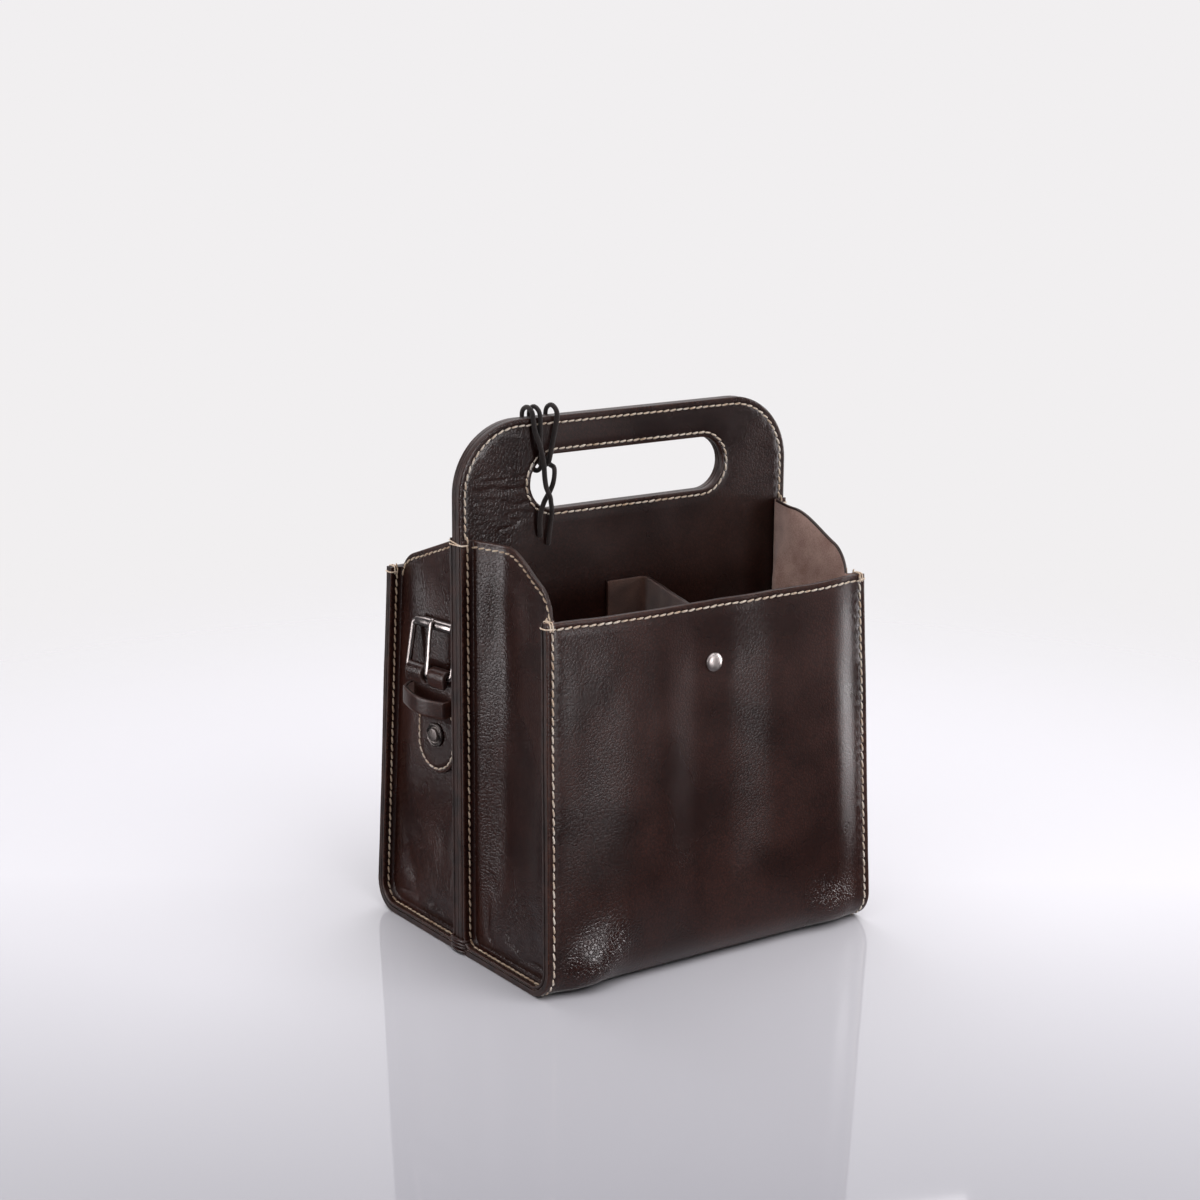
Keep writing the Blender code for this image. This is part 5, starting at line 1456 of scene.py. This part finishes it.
LOCK_RADIUS, THONG_RADIUS = 0.36, 0.85
RIM_LAYERS = OUTER_T + GAP + GUSSET_T
FIN_LAYERS = DIVIDER_HALF + GAP + GUSSET_T
locks = []
for side in (-1, 1):
    for half in (-1, 1):
        for shift in (0.0, 0.9):
            x = side * (half_width(RIM_HEIGHT) - SIDE_SEAM + shift)
            outside, within = panel_line(0.0, RIM_HEIGHT), panel_line(RIM_LAYERS, RIM_HEIGHT)
            profile = ((outside + 0.6, -3.6), (outside + 0.5, -1.4), (outside - 0.3, 0.3),
                       (outside - 2.5, 0.45), (within + 0.3, 0.3), (within - 0.4, -1.4), (within - 0.2, -3.4))
            locks.append([(x + 0.5 * side * shift, half * y, RIM_HEIGHT + z) for y, z in profile])
        rim_x = half_width(RIM_HEIGHT)
        profile = ((rim_x - 3.4, outside + 0.5), (rim_x - 0.6, outside + 0.4), (rim_x + 0.35, outside - 1.0),
                   (rim_x + 0.4, within + 1.2), (rim_x - 0.6, within - 0.3), (rim_x - 3.2, within - 0.4))
        locks.append([(side * x, half * y, RIM_HEIGHT - 2.4) for x, y in profile])
    profile = ((3.4, 0.4), (0.5, 0.35), (-0.3, -1.2), (-0.4, -5.0))
    front_half = [(side * (FIN_HALF_WIDTH - x), -(FIN_LAYERS + y)) for x, y in profile]
    fin_turn = front_half + [(x, -y) for x, y in reversed(front_half)]
    for drop, slope in ((1.7, 0.12), (2.6, -0.05)):
        locks.append([(x, y, GUSSET_HEIGHT - drop + y * slope) for x, y in fin_turn])
wound("thread_locks", locks, LOCK_RADIUS, linen)

for name, side in (("left", -1), ("right", 1)):
    turns = []
    for k, height in enumerate((1.6, 3.4, 5.2, 6.9)):
        tilt = 0.9 * noise.noise(Vector((k * 1.7, side * 3.0, 2.0)))
        front_half = [(95.3, -FIN_LAYERS - 0.5), (98.3, -FIN_LAYERS - 0.6), (99.3, -3.0)]
        profile = front_half + [(99.5, 0.0)] + [(x, -y) for x, y in reversed(front_half)]
        turns.append([(side * x, y, max(height + tilt * y / 5.0, 0.9)) for x, y in profile])
    wound(name + "_foot_thong", turns, THONG_RADIUS, oiled_leather)

# %% [markdown]
# ## Metal
#
# The rivets and buckles are steel with a nickel plate: a warm grey mirror, a little cloudy where
# hands have touched it. The small rivets are satin, and the ring rivets on the tabs are plated
# darker. Turned parts are a profile spun about an axis, and wires are tubes along a line, with
# enough sides to look round.

# %% Metal finishes
def plated(name, dark, light, low, high):
    """Plated steel, cloudy here and there."""
    made, tree, shader, place = new_material(name)
    cloud = add(tree, "ShaderNodeTexNoise",
                {"Vector": place, "Scale": 1 / 2.6, "Detail": 5.0, "Roughness": 0.65})
    share = add(tree, "ShaderNodeMapRange", {"Value": cloud.outputs[0], "From Min": 0.35, "From Max": 0.65})
    tint = add(tree, "ShaderNodeMix", {0: share.outputs[0], 6: linear(dark), 7: linear(light)},
               data_type='RGBA')
    tree.links.new(tint.outputs[2], shader.inputs["Base Color"])
    shader.inputs["Metallic"].default_value = 1.0
    gloss = add(tree, "ShaderNodeMapRange", {"Value": cloud.outputs[0], "From Min": 0.3, "From Max": 0.7,
                                             "To Min": low, "To Max": high})
    tree.links.new(gloss.outputs[0], shader.inputs["Roughness"])
    lines = add(tree, "ShaderNodeTexNoise", {"Vector": place, "Scale": 3.0, "Detail": 3.0})
    bump = add(tree, "ShaderNodeBump", {"Height": lines.outputs[0], "Strength": 0.05, "Distance": 0.0002})
    tree.links.new(bump.outputs[0], shader.inputs["Normal"])
    return made


nickel = plated("polished_nickel_plate", "A29997", "BDB4B1", 0.18, 0.26)
satin = plated("satin_nickel_plate", "C2B8B5", "DAD1CE", 0.34, 0.42)
gunmetal = plated("dark_nickel_plate", "615A57", "8A827F", 0.24, 0.34)


# %% Rivets
def turned(name, profile, matrix, look, steps=48, closed=False):
    """Spin a profile of (radius, height) about the Z of a matrix."""
    turns = [math.tau * n / steps for n in range(steps)]
    points = [matrix @ Vector((radius * math.cos(turn), radius * math.sin(turn), height))
              for radius, height in profile for turn in turns]
    made = mesh_object(name, points, ring_faces(len(profile), steps, closed))
    made.data.materials.append(look)
    made.data.set_sharp_from_angle(angle=math.radians(45))
    return made


def soft_line(points, steps=4):
    """Round the inner corners of a profile a little."""
    made = [points[0]]
    for a, b, c in zip(points, points[1:], points[2:]):
        a, b, c = Vector(a), Vector(b), Vector(c)
        reach = min(0.35, (b - a).length * 0.4, (c - b).length * 0.4)
        start = b + (a - b).normalized() * reach
        end = b + (c - b).normalized() * reach
        for k in range(steps + 1):
            t = k / steps
            made.append(tuple(start.lerp(b, t).lerp(b.lerp(end, t), t)))
    return made + [points[-1]]


CAP_RADIUS, CAP_RISE, CAP_RIM, POST_RADIUS, BACK_RADIUS, BACK_T = 4.6, 1.8, 0.5, 1.4, 4.4, 0.9


def cap_profile(post_end):
    """Domed cap and its post, from the post's end to the crown."""
    line = [(0.02, post_end), (POST_RADIUS, post_end), (POST_RADIUS, GAP), (CAP_RADIUS, GAP)]
    for k in range(13):
        angle = math.pi / 2 * k / 12
        line.append((max(CAP_RADIUS * math.cos(angle) ** 0.8, 0.02),
                     GAP + CAP_RIM * 0.7 + (CAP_RISE - CAP_RIM * 0.7) * math.sin(angle)))
    return line


def back_profile(level, bore):
    """Ring that the post is spread into, below the level of the last leather face."""
    top = level - GAP
    return [(bore, top), (bore, top - BACK_T), (BACK_RADIUS - BACK_T / 2, top - BACK_T),
            (BACK_RADIUS - 0.1, top - BACK_T / 2), (BACK_RADIUS, top)]


panel_stack = OUTER_T + GAP + SEPARATOR_T
divider_front = DIVIDER_HALF + GAP + SEPARATOR_T
lean_turn = Matrix.Rotation(math.pi / 2 - PANEL_LEAN, 4, 'X')
front_seat = Matrix.Translation((0, -panel_line(0.0, RIVET_HEIGHT), RIVET_HEIGHT)) @ lean_turn
divider_seat = Matrix.Translation((0, -divider_front, RIVET_HEIGHT)) @ Matrix.Rotation(math.pi / 2, 4, 'X')
small_rivets = (("front_rivet", front_seat, panel_stack),
                ("rear_rivet", Matrix.Rotation(math.pi, 4, 'Z') @ front_seat, panel_stack),
                ("divider_rivet", divider_seat, 2 * divider_front))
for name, seat, stack in small_rivets:
    parts = {"_cap": turned(name + "_cap_nickel", cap_profile(-stack - GAP - BACK_T), seat, satin),
             "_back": turned(name + "_back_nickel", back_profile(-stack, POST_RADIUS + GAP), seat, satin,
                             closed=True)}
    for end, part in parts.items():
        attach(part, "carrier")
        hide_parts(name + end)

RING_RADIUS, RING_CREST, RING_RISE, RECESS, RECESS_FLOOR = 6.0, 5.3, 1.5, 4.4, 0.6
STUD_RADIUS, STUD_RISE, TAB_POST = 3.4, 2.2, 1.8
tab_stack = TAB_T + GAP + GUSSET_T
ring_line = [(0.02, -tab_stack - GAP - BACK_T), (TAB_POST, -tab_stack - GAP - BACK_T), (TAB_POST, GAP),
             (RING_RADIUS, GAP)]
ring_line += soft_line([(RING_RADIUS, GAP), (RING_RADIUS, GAP + RING_RISE / 2), (RING_CREST, GAP + RING_RISE),
                        (RECESS, GAP + RECESS_FLOOR), (STUD_RADIUS, GAP + RECESS_FLOOR),
                        (STUD_RADIUS, GAP + STUD_RISE), (0.02, GAP + STUD_RISE)])[1:]
for name, seat in SEATS.items():
    axis = seat @ Matrix.Translation((0, -TAB_PIN_DROP, GAP + TAB_T))
    parts = {"_cap": turned(name + "_tab_rivet_cap_metal", ring_line, axis, gunmetal),
             "_back": turned(name + "_tab_rivet_back_metal", back_profile(-tab_stack, TAB_POST + GAP), axis,
                             gunmetal, closed=True)}
    for end, part in parts.items():
        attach(part, "carrier")
        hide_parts(name + "_tab_rivet" + end)
print("rivets:", 2 * (len(small_rivets) + len(SEATS)), "pieces")

# %% [markdown]
# ## Buckles
#
# A roller buckle is a bent wire frame, a prong with an eye round its bar, and a rolled sleeve of
# sheet metal that turns on the far wire, with the seam where the sheet meets itself. Frame, roller
# and prong each ride on their own body, so they swing as the joints do.

# %% Buckle pieces
PITCH, WIRE_CORNER, ROLLER_RADIUS, ROLLER_BORE = 24.3, 2.5, 2.75, 1.8
PRONG_T, PRONG_WIDTH, PRONG_TIP, PRONG_TO_WIRE = 1.2, 3.4, 2.2, 0.25
frame_half = tab_half + 0.5 + WIRE_RADIUS
tilt = math.asin((BAR_OUT - GAP - ROLLER_RADIUS) / PITCH)
roller_half = frame_half - WIRE_CORNER - 0.4
SEAM_GAP, ROLLER_STEPS = math.radians(7), 48


def frame_path():
    """Closed line of the wire frame in its own plane, bar along X."""
    reach = frame_half - WIRE_CORNER
    line = arc((reach, WIRE_CORNER), WIRE_CORNER, -90, 0, 8)
    line += arc((reach, PITCH - WIRE_CORNER), WIRE_CORNER, 0, 90, 8)
    line += [Vector((-p.x, p.y)) for p in reversed(line)]
    return divided(line, 1.5, True)


def roller_mesh(name, axis):
    """Sleeve along X of the axis matrix: an open ring with rounded ends, its seam to the gusset."""
    left_half = [(ROLLER_BORE, -roller_half), (ROLLER_RADIUS - 0.35, -roller_half),
                 (ROLLER_RADIUS - 0.1, -roller_half + 0.1), (ROLLER_RADIUS, -roller_half + 0.35),
                 (ROLLER_RADIUS, -roller_half * 0.5)]
    skin = left_half + [(ROLLER_RADIUS, 0.0)] + [(radius, -x) for radius, x in reversed(left_half)]
    start, sweep = SEAM_GAP - math.pi / 2, math.tau - 2 * SEAM_GAP
    turns = [start + sweep * k / ROLLER_STEPS for k in range(ROLLER_STEPS + 1)]
    points = [axis @ Vector((x, radius * math.cos(turn), radius * math.sin(turn)))
              for turn in turns for radius, x in skin]
    made = mesh_object(name, points, ring_faces(len(turns), len(skin)))
    made.data.set_sharp_from_angle(angle=math.radians(40))
    print(name, "wall", round(ROLLER_RADIUS - ROLLER_BORE, 2), "mm")
    return made


def prong_mesh(name, axis):
    """Flat prong: an open eye round the bar, a tapered shank and a tip curled over the roller."""
    eye = WIRE_RADIUS + PRONG_TO_WIRE + PRONG_T / 2
    rest = ROLLER_RADIUS + GAP + PRONG_T / 2
    start = arc((0.0, 0.0), eye, 345, 100, 22)
    line = list(start)
    for k in range(1, 15):
        share = 0.1 + 0.8 * k / 15
        line.append(Vector((share * PITCH, eye + (rest - eye) * smooth_step(share))))
    line += arc((PITCH, 0.0), rest, 95, 38, 8)
    sides = 12
    points = []
    last = len(line) - 1
    for k, spot in enumerate(line):
        way = (line[min(k + 1, last)] - line[max(k - 1, 0)]).normalized()
        taper = min(max((k - len(start)) / (last - len(start)), 0.0), 1.0)
        half = (PRONG_WIDTH + (PRONG_TIP - PRONG_WIDTH) * taper) / 2
        thick = PRONG_T / 2
        if k == last:
            half, thick = half * 0.75, thick * 0.6
        for n in range(sides):
            angle = math.tau * n / sides
            x = half * math.copysign(abs(math.cos(angle)) ** 0.5, math.cos(angle))
            t = thick * math.copysign(abs(math.sin(angle)) ** 0.6, math.sin(angle))
            points.append(axis @ Vector((x, spot.x - way.y * t, spot.y + way.x * t)))
    return mesh_object(name, points, ring_faces(len(line), sides))


for name, seat in SEATS.items():
    bar = seat @ Matrix.Translation((0, BAR_RISE, BAR_OUT)) @ Matrix.Rotation(-tilt, 4, 'X')
    wire = tube(name + "_buckle_frame_metal", [bar @ Vector((p.x, p.y, 0)) for p in frame_path()],
                lambda k, angle: WIRE_RADIUS, 20, closed=True)
    roller = roller_mesh(name + "_buckle_roller_metal", bar @ Matrix.Translation((0, PITCH, 0)))
    prong = prong_mesh(name + "_buckle_prong_metal", bar)
    for piece, node, body in ((wire, "_buckle_frame", "_frame"), (roller, "_buckle_roller", "_roller"),
                              (prong, "_buckle_prong", "_prong")):
        piece.data.materials.append(nickel)
        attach(piece, name + body)
        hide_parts(name + node)
print("buckle tilt", round(math.degrees(tilt), 1), "degrees")

# %% [markdown]
# ## Lace leather
#
# The lace is nearly black, matt and a little fuzzy where it was cut.

# %% Dress the lace
lace_leather = flesh_leather("matt_lace_leather", "0E0A0A", "2A1F1C", 0.15)
lace.data.materials.append(lace_leather)
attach(lace, "carrier")
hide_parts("lace")

# %% [markdown]
# ## Studio
#
# The bag stands on a pale polished table in a white room. The table is glossy, so it shows a faint
# upside-down bag, and it melts into the paper behind it. Dark leather lives from what it reflects,
# so the lamps' places matter more than their strength: each low lamp stands where one side of the
# bag mirrors it. In the table the low lamps would show as hard white patches, so they leave it out,
# by light linking. A soft lamp of its own lights the table instead, and makes the bag's shadow.

# %% Table, lamps and world
ROOM_BEHIND, ROOM_FRONT = "F1EFF0", "4A494C"
# The table's colour is painted: greyer in front as painted shade, paler behind as painted light.
TABLE_SHADED_NEAR, TABLE_LIT_FAR = "B0B0B6", "EBEBF0"
AWAY = (0.57, 0.82, 0.0)
TABLE_RINGS, TABLE_SIDES = (0.3, 0.6, 0.95), 48
FADE_START, FADE_END, MIRRORED_FADE = 330.0, 900.0, 5.0


def table_top(name):
    """Polished pale acrylic with painted light: its colour is painted greyer in front as painted shade and
    paler behind as painted light; its outer parts turn clear and show the paper.
    """
    made, tree, shader, place = new_material(name)
    # Painted shade and light: the colour runs from grey in front to pale behind.
    away = add(tree, "ShaderNodeVectorMath", {0: place, 1: AWAY}, operation='DOT_PRODUCT')
    lit = add(tree, "ShaderNodeMapRange",
              {"Value": away.outputs["Value"], "From Min": -320.0, "From Max": 50.0})
    tint = add(tree, "ShaderNodeMix", {0: lit.outputs[0], 6: linear(TABLE_SHADED_NEAR), 7: linear(TABLE_LIT_FAR)},
               data_type='RGBA')
    tree.links.new(tint.outputs[2], shader.inputs["Base Color"])
    shader.inputs["Roughness"].default_value = 0.035
    shader.inputs["IOR"].default_value = 1.49
    reach = add(tree, "ShaderNodeVectorMath", {0: place}, operation='LENGTH')
    rays = add(tree, "ShaderNodeLightPath")
    nearer = add(tree, "ShaderNodeMapRange",
                 {"Value": rays.outputs["Is Glossy Ray"], "To Min": 1.0, "To Max": MIRRORED_FADE})
    counted = add(tree, "ShaderNodeMath", {0: reach.outputs["Value"], 1: nearer.outputs[0]},
                  operation='MULTIPLY')
    fade = add(tree, "ShaderNodeMapRange",
               {"Value": counted.outputs[0], "From Min": FADE_START, "From Max": FADE_END},
               interpolation_type='SMOOTHSTEP')
    clear = add(tree, "ShaderNodeBsdfTransparent")
    mixed = add(tree, "ShaderNodeMixShader", {0: fade.outputs[0], 1: shader.outputs[0], 2: clear.outputs[0]})
    tree.links.new(mixed.outputs[0], tree.nodes["Material Output"].inputs["Surface"])
    return made


turns = [math.tau * n / TABLE_SIDES for n in range(TABLE_SIDES)]
table_points = [(math.cos(turn) * radius / MM, math.sin(turn) * radius / MM, 0)
                for radius in TABLE_RINGS for turn in turns]
table = mesh_object("table_top", table_points, ring_faces(len(TABLE_RINGS), TABLE_SIDES)[:-1])
table.data.materials.append(table_top("polished_pale_acrylic"))
off_the_table, on_the_table = (bpy.data.collections.new(name) for name in ("off_the_table", "on_the_table"))
off_the_table.objects.link(table)
off_the_table.collection_objects[0].light_linking.link_state = 'EXCLUDE'
on_the_table.objects.link(table)


LAMP_COLOUR, LAMP_TARGET = (1.0, 0.975, 0.99), (0, 0, 0.12)


def soft_light(name, azimuth, elevation, distance, size, glow, receivers=None):
    """A rectangular lamp that looks at the bag; azimuth 0 is in front, 90 to the right."""
    data = bpy.data.lights.new(name, 'AREA')
    data.shape = 'RECTANGLE'
    data.size, data.size_y = size
    data.energy = glow * math.pi * size[0] * size[1]
    data.color = LAMP_COLOUR
    lamp = bpy.data.objects.new(name, data)
    bpy.context.scene.collection.objects.link(lamp)
    a, e = math.radians(azimuth), math.radians(elevation)
    way = Vector((math.sin(a) * math.cos(e), -math.cos(a) * math.cos(e), math.sin(e)))
    lamp.location = Vector(LAMP_TARGET) + way * distance
    lamp.rotation_mode = 'QUATERNION'
    lamp.rotation_quaternion = (-way).to_track_quat('-Z', 'Y')
    if receivers:
        lamp.light_linking.receiver_collection = receivers
    return lamp


soft_light("high_window", 10, 58, 1.8, (1.7, 1.7), 1.3)
soft_light("back_window", 160, 60, 1.8, (2.0, 2.0), 1.75)
soft_light("left_high_window", -75, 50, 1.8, (1.4, 1.4), 1.15)
soft_light("front_window", 14, 2, 1.8, (0.22, 0.8), 3.8, off_the_table)
soft_light("upper_window", 10, 5, 1.8, (0.42, 0.34), 14.0, off_the_table)
soft_light("right_window", 68, 6, 1.8, (0.28, 1.3), 14.0, off_the_table)
soft_light("left_window", -84, 10, 1.6, (0.22, 1.2), 5.0, off_the_table)
soft_light("side_window", -118, 6, 1.6, (0.5, 1.0), 5.0, off_the_table)
table_lamp = soft_light("table_window", 12, 50, 2.2, (2.0, 2.0), 2.05, on_the_table)
table_lamp.visible_glossy = False

world = bpy.data.worlds.new("paper_room")
bpy.context.scene.world = world
world.use_nodes = True
room = world.node_tree
direction = add(room, "ShaderNodeTexCoord")
behind = add(room, "ShaderNodeVectorMath", {0: direction.outputs["Generated"], 1: AWAY},
             operation='DOT_PRODUCT')
turned_to = add(room, "ShaderNodeMapRange",
                {"Value": behind.outputs["Value"], "From Min": 0.52, "From Max": 0.8},
                interpolation_type='SMOOTHSTEP')
paper = add(room, "ShaderNodeMix", {0: turned_to.outputs[0], 6: linear(ROOM_FRONT), 7: linear(ROOM_BEHIND)},
            data_type='RGBA')
rays = add(room, "ShaderNodeLightPath")
seen = add(room, "ShaderNodeMix",
           {0: rays.outputs["Is Camera Ray"], 6: paper.outputs[2], 7: linear(ROOM_BEHIND)},
           data_type='RGBA')
room.links.new(seen.outputs[2], room.nodes["Background"].inputs["Color"])
bpy.context.scene.view_settings.view_transform = 'Standard'
